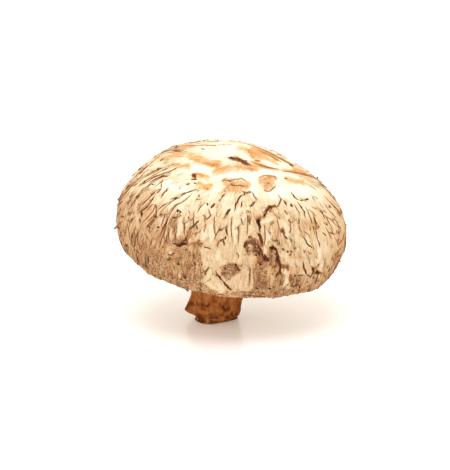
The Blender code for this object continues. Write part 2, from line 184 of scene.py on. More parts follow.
@dataclass(frozen=True)
class CapForm:
    """The cap's plain form, and the way from it to the world.

    It is the solid model's but for the hollow at azimuth -12, which is 1 mm shallower: the photograph's
    outline stands that far out there.
    """

    radius: float = 34.2 * MM
    crown_rise: float = 20.4 * MM
    flank_drop: float = 9.1 * MM
    margin_radius: float = 30.4 * MM
    crown_power: float = 2.3
    flank_power: float = 2.6
    lip_width: float = 4.2 * MM
    lip_rise: float = 3.0 * MM
    ceiling_centre: float = 3.0 * MM
    ceiling_edge: float = -3.6 * MM
    ceiling_power: float = 1.4
    stem_hole: float = 8.5 * MM
    lean: Euler = field(default_factory=lambda: Euler((math.radians(12.0), math.radians(9.0), 0.0)))
    centre: Triple = (3.8 * MM, 1.2 * MM, 29.8 * MM)
    outline_waves: tuple[tuple[float, int, float], ...] = (  # size, how many round the cap, and a crest
        (0.004, 1, 4.4), (0.008, 2, 0.4), (0.010, 3, 1.9), (0.006, 5, 0.6),
    )
    swells: tuple[tuple[float, float, float, float], ...] = (  # azimuth in degrees, arc, spread and rise
        (178, 0.029, 0.014, -0.0016), (22, 0.025, 0.012, -0.0014), (-12, 0.042, 0.010, -0.0003),
        (75, 0.012, 0.010, 0.0005), (145, 0.017, 0.009, 0.0006), (225, 0.044, 0.010, 0.0005),
        (120, 0.044, 0.010, 0.0006),
    )
    stands: tuple[Pair, ...] = (  # arc and rise of the torn skin over the plain form, in mm
        (0, 0.35), (8, 0.40), (15, 0.75), (43, 0.75), (53, 0.10), (60, 0.05),
    )
    even_arc: float = 14.0 * MM  # down to which the grain has no direction
    probe: float = 0.6 * MM  # half the stretch that a slope is read over
    lump_rise: float = 0.5 * MM
    lump_size: float = 8.0 * MM
    line: Array = field(init=False, repr=False)
    arcs: Array = field(init=False, repr=False)

    def __post_init__(self) -> None:
        """Works out the outer line once: fine (radius, height) points from crown to margin."""
        turns = np.linspace(math.pi / 2, 0.0, 400)
        crown = self.quarter(turns, 0.0, self.radius, self.crown_rise, self.crown_power)
        flank = self.quarter(
            turns[::-1][1:], self.margin_radius, self.radius, -self.flank_drop, self.flank_power
        )
        line = np.vstack((crown, flank))
        steps = np.linalg.norm(np.diff(line, axis=0), axis=1)
        object.__setattr__(self, "line", line)
        object.__setattr__(self, "arcs", np.concatenate(([0.0], np.cumsum(steps))))

    @staticmethod
    def quarter(turns: Array, inner: float, outer: float, height: float, power: float) -> Array:
        """A quarter of a superellipse between two radii, as rows of radius and height."""
        across, up = np.cos(turns).clip(0) ** (2 / power), np.sin(turns).clip(0) ** (2 / power)
        return np.column_stack((inner + (outer - inner) * across, height * up))

    @property
    def reach(self) -> float:
        """How far down the cap the outer skin goes."""
        return float(self.arcs[-1])

    @property
    def lip_edge(self) -> float:
        """Radius of the inner edge of the inrolled margin."""
        return self.margin_radius - self.lip_width

    def at_arc(self, arc: Array) -> tuple[Array, Array]:
        """Radius and height of the plain skin, a distance down from the crown."""
        return np.interp(arc, self.arcs, self.line[:, 0]), np.interp(arc, self.arcs, self.line[:, 1])

    def ceiling(self, radius: Array) -> Array:
        """Height of the flesh over the gills."""
        share = np.maximum(radius - self.stem_hole, 0.0) / (self.lip_edge - self.stem_hole)
        return self.ceiling_centre + (self.ceiling_edge - self.ceiling_centre) * share**self.ceiling_power

    def outline_share(self, azimuth: Array) -> Array:
        """How far the outline reaches at an azimuth, as a share of the round radius."""
        return 1.0 + sum(size * np.cos(n * (azimuth - crest)) for size, n, crest in self.outline_waves)

    def skin(self, azimuth: Array, arc: Array, above: Array, slide: Array) -> Array:
        """Points on or above the skin, in the world.

        Args:
            azimuth: turn about the cap's axis.
            arc: distance from the crown, measured down the cap.
            above: height over the plain form.
            slide: how far the point is pushed down the cap, along the skin.

        Returns:
            Rows of x, y and z.
        """
        radius, height = self.at_arc(arc)
        low, high = np.clip(arc - self.probe, 0, self.reach), np.clip(arc + self.probe, 0, self.reach)
        (near, top), (far, bottom) = self.at_arc(low), self.at_arc(high)
        length = np.hypot(far - near, top - bottom)
        run, fall = (far - near) / length, (top - bottom) / length
        above = above + self.broad_relief(azimuth, arc, radius)
        out = (radius + fall * above + run * slide) * self.outline_share(azimuth)
        up = height + run * above - fall * slide
        return self.to_world(polar(out, azimuth, up))

    def flow(self, azimuth: Array, arc: Array) -> Array:
        """Rows that grain is laid by: around, around and down, drawn together towards the crown."""
        around = self.radius * np.clip(arc / self.even_arc, 0.0, 1.0)
        return polar(around, azimuth, arc)

    def stand(self, arc: Array) -> Array:
        """How high the torn skin stands over the plain form: as the solid model's plates do."""
        return np.interp(arc / MM, *zip(*self.stands)) * MM

    def broad_relief(self, azimuth: Array, arc: Array, radius: Array) -> Array:
        """Bulges, hollows and soft lumps of the plain form.

        Args:
            azimuth: turn about the cap's axis.
            arc: distance from the crown.
            radius: the skin's radius there.

        Returns:
            The height that they add.
        """
        total = np.zeros(len(azimuth))
        for at_azimuth, at_arc, spread, rise in self.swells:
            across = wrapped(azimuth - math.radians(at_azimuth)) * radius
            total += rise * np.exp(-(across**2 + (arc - at_arc) ** 2) / (2 * spread**2))
        return total + self.lump_rise * noise_at(polar(radius, azimuth, arc), self.lump_size)

    def to_world(self, points: Array) -> Array:
        """Points of the cap's own frame, in the world."""
        return points @ np.array(self.lean.to_matrix()).T + np.array(self.centre)


class Socket:
    """A shader value that takes part in Python arithmetic, each step adding a Math node."""

    def __init__(self, graph: "Graph", output: NodeSocket) -> None:
        """Wraps one output socket of a graph's node."""
        self.graph = graph
        self.output = output

    def _math(self, operation: str, first: object, second: object) -> "Socket":
        """The result of one Math node."""
        node = self.graph.node("ShaderNodeMath", {"operation": operation}, {0: first, 1: second})
        return Socket(self.graph, node.outputs[0])

    def __add__(self, other: object) -> "Socket":
        """Sum."""
        return self._math("ADD", self, other)

    def __radd__(self, other: object) -> "Socket":
        """Reflected sum."""
        return self._math("ADD", other, self)

    def __sub__(self, other: object) -> "Socket":
        """Difference."""
        return self._math("SUBTRACT", self, other)

    def __rsub__(self, other: object) -> "Socket":
        """Reflected difference."""
        return self._math("SUBTRACT", other, self)

    def __mul__(self, other: object) -> "Socket":
        """Product."""
        return self._math("MULTIPLY", self, other)

    def __rmul__(self, other: object) -> "Socket":
        """Reflected product."""
        return self._math("MULTIPLY", other, self)

    def clamped(self, low: float = 0.0, high: float = 1.0) -> "Socket":
        """This value held between two others."""
        node = self.graph.node("ShaderNodeClamp", {}, {"Value": self, "Min": low, "Max": high})
        return Socket(self.graph, node.outputs[0])

    def between(self, low: float, high: float) -> "Socket":
        """How far this value is from low to high, as a smooth step from 0 to 1."""
        inputs = {"Value": self, "From Min": low, "From Max": high}
        node = self.graph.node("ShaderNodeMapRange", {"interpolation_type": "SMOOTHSTEP"}, inputs)
        return Socket(self.graph, node.outputs[0])


class Graph:
    """The node tree of one material."""

    def __init__(self, name: str) -> None:
        """Makes a material with an empty tree but for its shader and output."""
        self.material = bpy.data.materials.new(name)
        self.material.use_nodes = True
        self.tree = self.material.node_tree
        self.shader = self.tree.nodes["Principled BSDF"]

    def node(self, kind: str, settings: dict[str, object], inputs: dict[object, object]) -> bpy.types.Node:
        """Adds one node.

        Args:
            kind: the node's type.
            settings: its properties, set before its sockets.
            inputs: a value or a link for each named or numbered socket.

        Returns:
            The node.
        """
        made = self.tree.nodes.new(kind)
        for key, value in settings.items():
            setattr(made, key, value)
        for key, value in inputs.items():
            self.feed(made.inputs[key], value)
        return made

    def feed(self, socket: NodeSocket, value: object) -> None:
        """Sets a socket to a value, or links one to it.

        Args:
            socket: the socket.
            value: a number, colour, vector or other socket.
        """
        if isinstance(value, Socket):
            self.tree.links.new(value.output, socket)
        elif isinstance(value, NodeSocket):
            self.tree.links.new(value, socket)
        elif isinstance(value, tuple) and len(value) == 3 and socket.type == "RGBA":
            socket.default_value = (*value, 1.0)
        else:
            socket.default_value = value

    def surface(self, looks: dict[str, object]) -> bpy.types.Material:
        """Sets or links the shader's sockets by name, and gives the finished material."""
        for name, value in looks.items():
            self.feed(self.shader.inputs[name], value)
        return self.material

    def attribute(self, name: str) -> Socket:
        """A number stored on the mesh."""
        return Socket(self, self.node("ShaderNodeAttribute", {"attribute_name": name}, {}).outputs["Fac"])

    def vector(self, name: str) -> NodeSocket:
        """A vector stored on the mesh."""
        return self.node("ShaderNodeAttribute", {"attribute_name": name}, {}).outputs["Vector"]

    def place(self) -> NodeSocket:
        """The piece's own coordinates."""
        return self.node("ShaderNodeTexCoord", {}, {}).outputs["Object"]

    def stretched(self, vector: NodeSocket, scale: Triple) -> NodeSocket:
        """A vector with each of its numbers scaled."""
        made = self.node("ShaderNodeVectorMath", {"operation": "MULTIPLY"}, {0: vector, 1: scale})
        return made.outputs["Vector"]

    def noise(self, vector: NodeSocket, size: float, detail: float = 2.0, rough: float = 0.5) -> Socket:
        """Noise round 0, mostly between -0.3 and 0.3, with blobs of a size in metres."""
        inputs = {"Vector": vector, "Scale": 1 / size, "Detail": detail, "Roughness": rough}
        return Socket(self, self.node("ShaderNodeTexNoise", {}, inputs).outputs["Fac"]) - 0.5

    def mix(self, share: object, first: object, second: object) -> NodeSocket:
        """Two colours mixed.

        Args:
            share: how much of the second there is.
            first: a colour.
            second: another.

        Returns:
            The mixed colour.
        """
        made = self.node("ShaderNodeMix", {"data_type": "RGBA"}, {})
        for key, value in (("Factor", share), (6, first), (7, second)):
            self.feed(made.inputs[key], value)
        return made.outputs[2]

    def ramp(self, value: Socket, stops: Stops) -> NodeSocket:
        """The colour at a value on a row of colour stops.

        Args:
            value: from 0 to 1.
            stops: the colour stops, in order.

        Returns:
            The colour's socket.
        """
        made = self.node("ShaderNodeValToRGB", {}, {"Fac": value})
        elements = made.color_ramp.elements
        for _ in stops[2:]:
            elements.new(0.5)
        for element, (place, _) in zip(elements, stops):
            element.position = place
        for element, (_, colour) in zip(elements, stops):
            element.color = (*colour, 1.0)
        return made.outputs["Color"]

    def bump(self, height: Socket, distance: float, strength: float) -> NodeSocket:
        """A normal bent by a height."""
        made = self.node("ShaderNodeBump", {}, {"Height": height, "Distance": distance, "Strength": strength})
        return made.outputs["Normal"]


def mesh_piece(name: str, shape: BMesh, material: bpy.types.Material) -> bpy.types.Object:
    """Makes a bmesh a smooth piece of the scene, riding on the root body.

    Args:
        name: the piece's name.
        shape: its mesh, which is freed.
        material: its finish.

    Returns:
        The object.
    """
    mesh = bpy.data.meshes.new(name)
    shape.to_mesh(mesh)
    shape.free()
    mesh.materials.append(material)
    mesh.shade_smooth()
    piece = bpy.data.objects.new(name, mesh)
    bpy.context.scene.collection.objects.link(piece)
    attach(piece, ROOT)
    mesh.calc_loop_triangles()
    log.info("%s: %d triangles", name, len(mesh.loop_triangles))
    return piece


def read_points(mesh: bpy.types.Mesh) -> Array:
    """The vertices of a mesh as rows of x, y and z."""
    points = np.empty(len(mesh.vertices) * 3)
    mesh.vertices.foreach_get("co", points)
    return points.reshape(-1, 3)


def write_points(mesh: bpy.types.Mesh, points: Array) -> None:
    """Moves the vertices of a mesh."""
    mesh.vertices.foreach_set("co", points.ravel())
    mesh.update()


def write_attribute(mesh: bpy.types.Mesh, name: str, values: Array) -> None:
    """Stores a number or a vector on each vertex."""
    kind, key = ("FLOAT", "value") if values.ndim == 1 else ("FLOAT_VECTOR", "vector")
    mesh.attributes.new(name, kind, "POINT").data.foreach_set(key, values.astype(np.float32).ravel())


def spun(line: Sequence[Pair], steps: int, cuts: int, closed: bool = False) -> BMesh:
    """Turns a line about Z into a surface whose faces point outwards.

    Args:
        line: its (radius, height) points.
        steps: how many sides the turned shape has.
        cuts: how many times each side is cut; the cuts are then moved out onto the round.
        closed: whether the line's ends are joined.

    Returns:
        The surface.
    """
    shape = bmesh.new()
    verts = [shape.verts.new((radius, 0.0, height)) for radius, height in line]
    pairs = list(zip(verts, verts[1:])) + ([(verts[-1], verts[0])] if closed else [])
    edges = [shape.edges.new(pair) for pair in pairs]
    full = 2 * math.pi
    bmesh.ops.spin(
        shape, geom=verts + edges, cent=(0, 0, 0), axis=(0, 0, 1), angle=full, steps=steps, use_merge=True
    )
    bmesh.ops.remove_doubles(shape, verts=shape.verts, dist=1e-7)
    side = math.pi / steps
    rings = []
    for edge in shape.edges:
        first, second = edge.verts
        off_axis = min(first.co.xy.length, second.co.xy.length) > 1e-6
        if off_axis and abs(wrapped(turn_of(first) - turn_of(second))) > side:
            rings.append(edge)
    bmesh.ops.subdivide_edges(shape, edges=rings, cuts=cuts, use_grid_fill=True)
    bmesh.ops.triangulate(shape, faces=[face for face in shape.faces if len(face.verts) > 4])
    for vertex in shape.verts:
        stretch = math.cos(turn_of(vertex) % (2 * side) - side) / math.cos(side)
        vertex.co.x *= stretch
        vertex.co.y *= stretch
    bmesh.ops.recalc_face_normals(shape, faces=shape.faces)
    return shape


def turn_of(vertex: bmesh.types.BMVert) -> float:
    """A vertex's turn about Z."""
    return math.atan2(vertex.co.y, vertex.co.x)


def repeated(unit: BMesh, count: int) -> BMesh:
    """Many copies of a shape in one, each copy's points together and in the shape's order.

    Args:
        unit: the shape, which is freed.
        count: how many copies.

    Returns:
        The copies.
    """
    mesh = bpy.data.meshes.new("unit")
    unit.to_mesh(mesh)
    unit.free()
    shape = bmesh.new()
    for _ in range(count):
        shape.from_mesh(mesh)
    bpy.data.meshes.remove(mesh)
    return shape


def slip(across: int, along: int) -> BMesh:
    """A closed flat slip: x from -0.5 to 0.5, y and z from 0 to 1.

    Args:
        across: how many faces wide it is.
        along: how many it is long.

    Returns:
        The slip.
    """
    shape = bmesh.new()
    bmesh.ops.create_grid(shape, x_segments=across, y_segments=along, size=0.5)
    bmesh.ops.translate(shape, verts=shape.verts, vec=(0.0, 0.5, 0.0))
    bmesh.ops.solidify(shape, geom=shape.faces[:], thickness=1.0)
    lowest = min(vertex.co.z for vertex in shape.verts)
    bmesh.ops.translate(shape, verts=shape.verts, vec=(0.0, 0.0, -lowest))
    bmesh.ops.recalc_face_normals(shape, faces=shape.faces)
    return shape


def slips(
    name: str, unit: BMesh, count: int, material: bpy.types.Material
) -> tuple[bpy.types.Object, Array]:
    """Makes one piece of many slips.

    Args:
        name: the piece's name.
        unit: one slip, which is freed.
        count: how many there are.
        material: their finish.

    Returns:
        The object, and its points by slip, point and axis.
    """
    points_each = len(unit.verts)
    piece = mesh_piece(name, repeated(unit, count), material)
    return piece, read_points(piece.data).reshape(count, points_each, 3)


@dataclass(frozen=True)
class Look:
    """What a stroke turns the skin under it into."""

    tone: float  # from 0, white flesh, to 1, nearly black
    rise: float = 0.0  # over the skin round it, in millimetres
    warmth: float = 0.0  # 1 is orange
    grain: float = 0.25  # 1 is granular
    edge: float = 1.2  # width of its soft edge, in pixels
    pointed: float = 0.0  # 1 comes to a point at both ends
    outline: float = 0.0  # strength of the thin brown line round it
    share: float = 1.0  # of the new look that is taken on
    streak: float = 0.5  # how far it breaks up into streaks along its line


class Mark(Enum):
    """The kinds of stroke."""

    HAZE_PALE = Look(0.12, 0.05, edge=14, share=0.85)
    HAZE_CREAM = Look(0.22, 0.05, edge=14, share=0.85)
    HAZE_SAND = Look(0.30, 0.05, edge=14, share=0.85)
    LIFT = Look(0.16, 0.12, edge=12, share=0.36)
    SHADE = Look(0.66, 0.12, warmth=0.35, edge=12, share=0.22)
    GOLD = Look(0.34, 0.12, warmth=0.75, edge=10, share=0.35)
    HAZE_TAN = Look(0.38, 0.0, edge=12, share=0.85)
    HAZE_BROWN = Look(0.56, -0.05, grain=1.0, edge=8, share=0.95)
    WHITE = Look(0.02, 0.12, grain=0.1, edge=3)
    CREAM = Look(0.18, 0.22, edge=1.6, pointed=0.5, outline=0.25, streak=0.8)
    PALE = Look(0.27, 0.25, edge=1.4, pointed=0.3, outline=0.25, streak=0.6)
    TAN = Look(0.42, 0.05, warmth=0.15, edge=1.4, outline=0.2, streak=0.6)
    PEEL = Look(0.42, 0.10, warmth=0.85, edge=1.6, outline=0.3, streak=0.5)
    CRUMBS = Look(0.40, 0.08, warmth=0.55, grain=1.0, edge=1.4, outline=0.3, streak=0.3)
    RED = Look(0.56, 0.05, warmth=0.9, edge=2.2, share=0.8, streak=0.6)
    PLATE = Look(0.34, 0.20, edge=2.0, outline=0.0, streak=0.3)
    BROWN = Look(0.66, -0.15, grain=1.0, edge=1.6, streak=0.6)
    SCAR = Look(0.84, -0.20, warmth=0.4, grain=0.6, edge=1.0, pointed=0.5, streak=0.3)
    CRACK = Look(0.90, -0.30, warmth=0.25, edge=0.8, pointed=0.8, share=0.8, streak=0.1)
    FIBRE = Look(0.76, -0.10, warmth=0.2, edge=0.8, pointed=0.8, share=0.6, streak=0.1)
    THREAD = Look(0.40, 0.12, edge=0.8, pointed=0.8, streak=0.1)
    RUST = Look(0.62, 0.05, warmth=0.5, edge=0.8, pointed=0.6, streak=0.1)


@dataclass(frozen=True)
class Stroke:
    """A mark along a line, which is given in pixels, as its width is."""

    mark: Mark
    width: float
    line: tuple[Pair, ...]

    @property
    def thin(self) -> bool:
        """Whether it is fine enough for a ribbon."""
        return self.width <= THIN and self.mark in (Mark.CRACK, Mark.FIBRE, Mark.RUST, Mark.THREAD)

    def along(self, steps: int) -> Array:
        """Points of its line, evenly apart.

        Args:
            steps: how many steps there are between them.

        Returns:
            The points as rows.
        """
        line = np.array(self.line)
        far = np.concatenate(([0.0], np.cumsum(np.linalg.norm(np.diff(line, axis=0), axis=1))))
        shares = np.linspace(0.0, far[-1], steps + 1)
        return np.column_stack([np.interp(shares, far, line[:, axis]) for axis in (0, 1)])


def strokes_of(*rows: tuple["Mark | tuple[float, ...]", ...]) -> tuple[Stroke, ...]:
    """Strokes as they are listed below.

    Args:
        rows: a mark, and then for each stroke of it a width and the column and row of every point.

    Returns:
        The strokes, in the order they are laid.
    """
    laid = []
    for mark, *lines in rows:
        laid += [Stroke(mark, width, tuple(zip(at[::2], at[1::2]))) for width, *at in lines]
    return tuple(laid)


FRONT = strokes_of(
    (Mark.HAZE_PALE, (30, 170.5, 200, 207.5, 202, 232, 200), (30, 228, 200, 260.5, 200, 295, 195.5)),
    (Mark.HAZE_SAND, (30, 179.5, 230, 207.5, 230, 232, 230), (26, 228, 230, 260.5, 228.5, 288.5, 224)),
    (Mark.HAZE_TAN, (24, 128.5, 202, 124, 224, 130.5, 249), (20, 149, 224, 153.5, 243.5)),
    (Mark.HAZE_PALE, (16, 126, 186, 140, 174, 152, 166)), (Mark.HAZE_CREAM, (12, 122, 198, 136, 186)),
    (Mark.HAZE_TAN, (16, 160, 232, 176, 238, 196, 244)), (Mark.HAZE_BROWN, (8, 150, 240, 182, 243)),
    (Mark.HAZE_TAN, (14, 256, 216, 264, 226, 258, 238), (12, 160, 210, 172, 219, 166, 228)),
    (Mark.HAZE_CREAM, (14, 236, 188, 252, 196, 262, 206), (14, 276, 203, 302, 208)),
    (Mark.HAZE_TAN, (12, 206, 244, 226, 242, 246, 236), (14, 136, 208, 148, 220, 152, 236),
     (10, 172, 224, 192, 228, 196, 240), (10, 280, 212, 290, 224, 294, 240)),
    (Mark.HAZE_SAND, (10, 230, 168, 262, 172)),
    (Mark.HAZE_BROWN, (30, 146, 259.5, 166.5, 268.5, 186, 275), (16, 179.5, 252, 194.5, 254.5),
     (9, 124, 249, 146, 269.5, 170.5, 283.5, 197, 288),
     (9, 239, 292.5, 271.5, 295.5, 298.5, 289, 325.5, 272.5)),
    (Mark.HAZE_CREAM, (18, 322, 203, 330, 226, 326, 246)), (Mark.HAZE_TAN, (14, 297.5, 268.5, 325.5, 265)),
    (Mark.HAZE_BROWN, (14, 260.5, 276, 273.5, 282.5)), (Mark.HAZE_CREAM, (22, 295, 240, 310.5, 250)),
    # WHITE strokes mostly along the crest between the top and the front flank: partly white flesh, partly
    # painted highlight where the crest catches the light from above
    (Mark.WHITE, (9, 151, 187, 170.5, 184, 186, 195.5), (7, 220.5, 145, 232, 149),
     (8, 186, 169.5, 202, 169.5, 218.5, 177.5, 232, 176),
     (9, 228, 177.5, 241, 175, 256, 174, 275.5, 173, 297.5, 181.5), (9, 252, 180.5, 254, 195.5),
     (12, 280, 189, 304, 191.5, 321.5, 195.5), (7, 271.5, 195.5, 286.5, 195.5),
     (6, 228, 153.5, 242, 152.5), (6, 170.5, 188, 181.5, 186, 192.5, 195.5),
     (5, 215, 189, 207.5, 202, 197, 211)),
    (Mark.PEEL, (3, 170.5, 149.5, 180.5, 147, 191.5, 145.5),
     (3, 155.5, 158.5, 164, 158.5, 175, 155, 186, 153),
     (7, 190.5, 156, 201, 159.5, 207.5, 162.5, 218.5, 164.5)),
    (Mark.RED, (3, 205.5, 163.5, 212, 165.5, 217.5, 164.5)),
    (Mark.PEEL, (6, 215, 172.5, 221, 170.5, 229, 168.5), (4, 173, 165, 180.5, 166, 188, 167.5),
     (4, 195.5, 174.5, 202, 175.5, 207.5, 178)),
    (Mark.RED, (2.5, 197, 174.5, 202, 176)), (Mark.SCAR, (4.5, 192.5, 174, 195.5, 177)),
    (Mark.CRACK, (1.5, 191, 179, 197, 179), (1.2, 193.5, 182.5, 197, 183), (1.6, 186, 184, 189.5, 184)),
    (Mark.PEEL, (5, 199, 184.5, 204.5, 186.5, 211, 186)), (Mark.RED, (2, 204.5, 188, 207.5, 188.5)),
    (Mark.CRUMBS, (5, 225, 181.5, 232, 182.5), (6, 223, 192.5, 228, 189, 232, 189)),
    (Mark.CRACK, (0.9, 221.5, 181, 225, 180.5, 232, 181.5), (0.8, 218.5, 201.5, 225, 193.5)),
    (Mark.SCAR, (2.8, 170.5, 149.5, 175, 150, 179.5, 150)),
    (Mark.FIBRE, (1.2, 201, 148.5, 204.5, 149), (1.0, 217, 140.5, 220.5, 140.5),
     (0.8, 164, 147, 179.5, 144, 203.5, 141.5, 218.5, 141.5), (0.8, 179.5, 145.5, 207.5, 145.5, 232, 145),
     (0.9, 168.5, 152.5, 179.5, 151.5, 186, 149)),
    (Mark.TAN, (2.5, 161, 153.5, 177, 148.5, 192.5, 146)),
    (Mark.FIBRE, (1.4, 130, 183.5, 138, 173.5, 148, 165.5),
     (1.0, 135, 186, 142.5, 178, 155.5, 172, 164, 167.5),
     (1.3, 142.5, 177, 153.5, 171.5, 164, 167.5, 175, 164),
     (1.1, 136, 189, 146, 180.5, 157.5, 173, 168.5, 167.5),
     (1.2, 142.5, 181.5, 153.5, 177, 168.5, 172.5, 177, 167.5)),
    (Mark.CRACK, (0.9, 151, 178, 157.5, 175)),
    (Mark.FIBRE, (1.0, 146, 187, 156.5, 180, 170.5, 173), (0.9, 149, 182.5, 161, 176, 170.5, 175.5)),
    (Mark.CRACK, (1.1, 152.5, 184.5, 154.5, 184.5)),
    (Mark.FIBRE, (1.2, 136, 200, 142.5, 189, 153.5, 182.5), (1.4, 140.5, 194.5, 148, 189, 153, 187)),
    (Mark.TAN, (3, 139.5, 195.5, 148, 191.5, 154.5, 189)),
    (Mark.FIBRE, (1.6, 142.5, 204.5, 151, 195.5, 155, 192.5)),
    (Mark.CRACK, (1.3, 140.5, 211.5, 147, 206.5, 154.5, 195.5)),
    (Mark.FIBRE, (1.2, 154.5, 195.5, 161, 189, 162, 179.5), (1.3, 161, 199, 164, 192.5, 169, 188),
     (1.0, 161, 207, 170.5, 201.5, 186, 193.5, 191.5, 190.5)),
    (Mark.CRACK, (0.8, 157.5, 210, 163, 205.5, 169, 202)),
    (Mark.FIBRE, (0.9, 168.5, 213, 175, 205.5, 186, 200, 192.5, 193.5),
     (0.9, 124, 195.5, 129.5, 188, 136, 180.5), (0.9, 117.5, 209, 124, 199, 130.5, 191.5),
     (0.9, 126.5, 204.5, 131.5, 197, 137, 191.5), (0.9, 133, 206.5, 136, 199, 141.5, 193.5),
     (1.0, 129.5, 213, 131.5, 205.5, 135, 200)),
    (Mark.PALE, (3, 137, 200, 135.5, 211, 138, 222, 138.5, 228.5)),
    (Mark.CREAM, (3.5, 155.5, 191.5, 159, 200, 157.5, 204.5)),
    (Mark.PALE, (3.5, 153.5, 243.5, 148, 232.5, 149, 226)), (Mark.FIBRE, (1.2, 148.5, 230, 150, 232.5)),
    (Mark.CRACK, (1.6, 141, 210, 141.5, 216.5), (1.2, 139.5, 218.5, 140, 223.5),
     (1.8, 121.5, 216.5, 123.5, 217), (1.0, 123.5, 229.5, 124, 233), (1.6, 125, 246, 128, 245)),
    (Mark.FIBRE, (1.2, 120.5, 232.5, 121, 238), (1.0, 127.5, 224, 129, 232.5, 130.5, 241.5),
     (1.0, 131.5, 230.5, 133.5, 239, 134.5, 248), (0.9, 138, 230.5, 137.5, 239, 140, 248),
     (1.0, 133, 206.5, 130.5, 215.5)),
    (Mark.CRACK, (1.5, 155.5, 215.5, 156.5, 218)),
    (Mark.FIBRE, (1.2, 156, 204.5, 156.5, 215.5), (1.2, 146, 227, 153.5, 219.5, 157.5, 211),
     (1.1, 148, 222, 155.5, 213), (1.2, 161, 227, 164, 217.5, 167.5, 209),
     (1.0, 164, 243.5, 164, 232.5, 166.5, 222, 167.5, 211), (1.2, 168.5, 239, 169, 228.5, 172, 217.5)),
    (Mark.PALE, (3.6, 172, 228.5, 171.5, 239), (2.6, 163, 239, 162.5, 245.5)),
    (Mark.BROWN, (4, 173.5, 211, 173, 224, 170.5, 228.5)),
    (Mark.CRACK, (2.6, 176.5, 210, 179.5, 212), (1.6, 179.5, 211, 181, 212.5),
     (1.8, 173.5, 218.5, 175, 217)),
    (Mark.BROWN, (3.2, 179.5, 214, 175, 222, 174, 232.5)),
    (Mark.FIBRE, (1.3, 175, 225, 175, 232.5, 175, 243.5)),
    (Mark.CREAM, (6, 181.5, 218.5, 180.5, 228.5, 178.5, 238), (5, 186, 206.5, 190.5, 211, 186, 217.5)),
    (Mark.TAN, (3, 176, 239, 185, 239)),
    (Mark.CREAM, (5, 175, 206.5, 170.5, 215.5), (6, 201, 206.5, 197, 215.5)),
    (Mark.CRACK, (1.5, 189, 229.5, 192.5, 227, 195.5, 223.5, 199, 220.5), (1.2, 196, 225, 197.5, 229.5)),
    (Mark.FIBRE, (1.4, 189, 229.5, 188, 235, 186, 239)),
    (Mark.TAN, (3.5, 188, 230.5, 190.5, 235, 189.5, 242.5), (4, 194.5, 230.5, 193.5, 239)),
    (Mark.CREAM, (7, 202, 226, 204.5, 235, 202, 241.5), (5, 211, 226, 212, 236, 210, 244.5),
     (4, 185, 222, 186, 227)),
    (Mark.FIBRE, (1.0, 197, 213, 201, 206.5, 205.5, 203)),
    (Mark.CRACK, (1.3, 207, 203, 208, 205.5), (2.0, 210.5, 208, 215, 203.5)),
    (Mark.FIBRE, (1.2, 208.5, 209, 210.5, 215.5, 205.5, 220.5)),
    (Mark.CREAM, (6, 219.5, 204.5, 218.5, 215.5)), (Mark.BROWN, (3, 224, 218, 227.5, 213.5)),
    (Mark.CRACK, (2.2, 226.5, 213.5, 230.5, 209), (1.7, 227.5, 225, 226, 229.5, 227.5, 235.5),
     (1.4, 227.5, 235.5, 223.5, 239, 218.5, 242), (1.4, 223.5, 239.5, 224.5, 245.5)),
    (Mark.FIBRE, (1.2, 214, 239, 218.5, 230.5, 225, 227)),
    (Mark.SCAR, (1.6, 217, 246, 218.5, 242.5), (2.2, 218, 247.5, 223.5, 246)),
    (Mark.CRACK, (3.2, 176, 245, 179.5, 245, 186, 243)),
    (Mark.SCAR, (3.6, 194.5, 242.5, 198, 242, 202, 243.5)),
    (Mark.BROWN, (6, 177, 242, 188, 243.5, 203.5, 244.5)), (Mark.SCAR, (2.0, 186, 242, 188, 246.5)),
    (Mark.CRACK, (1.0, 203.5, 246.5, 211, 248.5)), (Mark.PALE, (3, 170, 251, 170.5, 255.5)),
    (Mark.TAN, (4, 172, 259.5, 175, 271.5)),
    (Mark.CRACK, (1.4, 181, 263, 182.5, 265), (1.4, 194, 262.5, 196, 263.5),
     (1.3, 177, 263.5, 179.5, 264.5)),
    (Mark.SCAR, (2.4, 182.5, 275, 186, 278)),
    (Mark.CRACK, (1.0, 154.5, 275, 155.5, 276), (1.2, 204.5, 272.5, 206, 275)),
    (Mark.PLATE, (16, 209, 250, 211, 258), (18, 226, 249, 228, 257), (16, 244, 250, 245, 262, 244, 274),
     (10, 207, 260, 209, 268)),
    (Mark.PALE, (7, 218.5, 252, 219, 261, 214, 265), (7, 211, 271.5, 212, 280.5, 217.5, 287)),
    (Mark.PLATE, (11, 207, 280, 214, 284, 222, 287), (7, 212, 272, 211, 278, 216, 282)),
    (Mark.CREAM, (6, 203, 281.5, 212, 284.5, 223, 289), (6, 212, 272, 215, 280, 222, 286)),
    (Mark.BROWN, (8, 225, 272.5, 230.5, 269.5, 232, 276), (5, 223, 277, 229.5, 282.5)),
    (Mark.CRACK, (2.2, 212, 268.5, 217.5, 274.5, 223, 280.5), (2.6, 223, 280.5, 228, 286, 232, 289),
     (1.0, 223.5, 267, 225, 269.5)),
    (Mark.PALE, (6, 218.5, 265, 223, 263, 225, 261)), (Mark.CRACK, (1.0, 202.5, 269, 205.5, 272, 210, 266)),
    (Mark.SCAR, (4.5, 229, 158, 236.5, 159, 243, 161), (4, 240, 160.5, 246, 163, 250, 165)),
    (Mark.CRACK, (1.6, 228, 157, 234.5, 158), (1.3, 242, 159.5, 247.5, 161)),
    (Mark.PEEL, (4.5, 236.5, 166.5, 245.5, 167.5, 256, 169)), (Mark.RED, (2.5, 247.5, 168.5, 253, 169.5)),
    (Mark.PEEL, (5, 240, 148.5, 245.5, 150)), (Mark.RED, (4, 248.5, 150.5, 251, 154, 253, 157)),
    (Mark.PEEL, (8, 253, 153.5, 264, 155.5)), (Mark.RED, (3, 255, 160.5, 260.5, 161)),
    (Mark.SCAR, (1.8, 255.5, 160, 259.5, 161)), (Mark.RED, (1.8, 265, 152, 274.5, 156, 284, 161, 293, 166)),
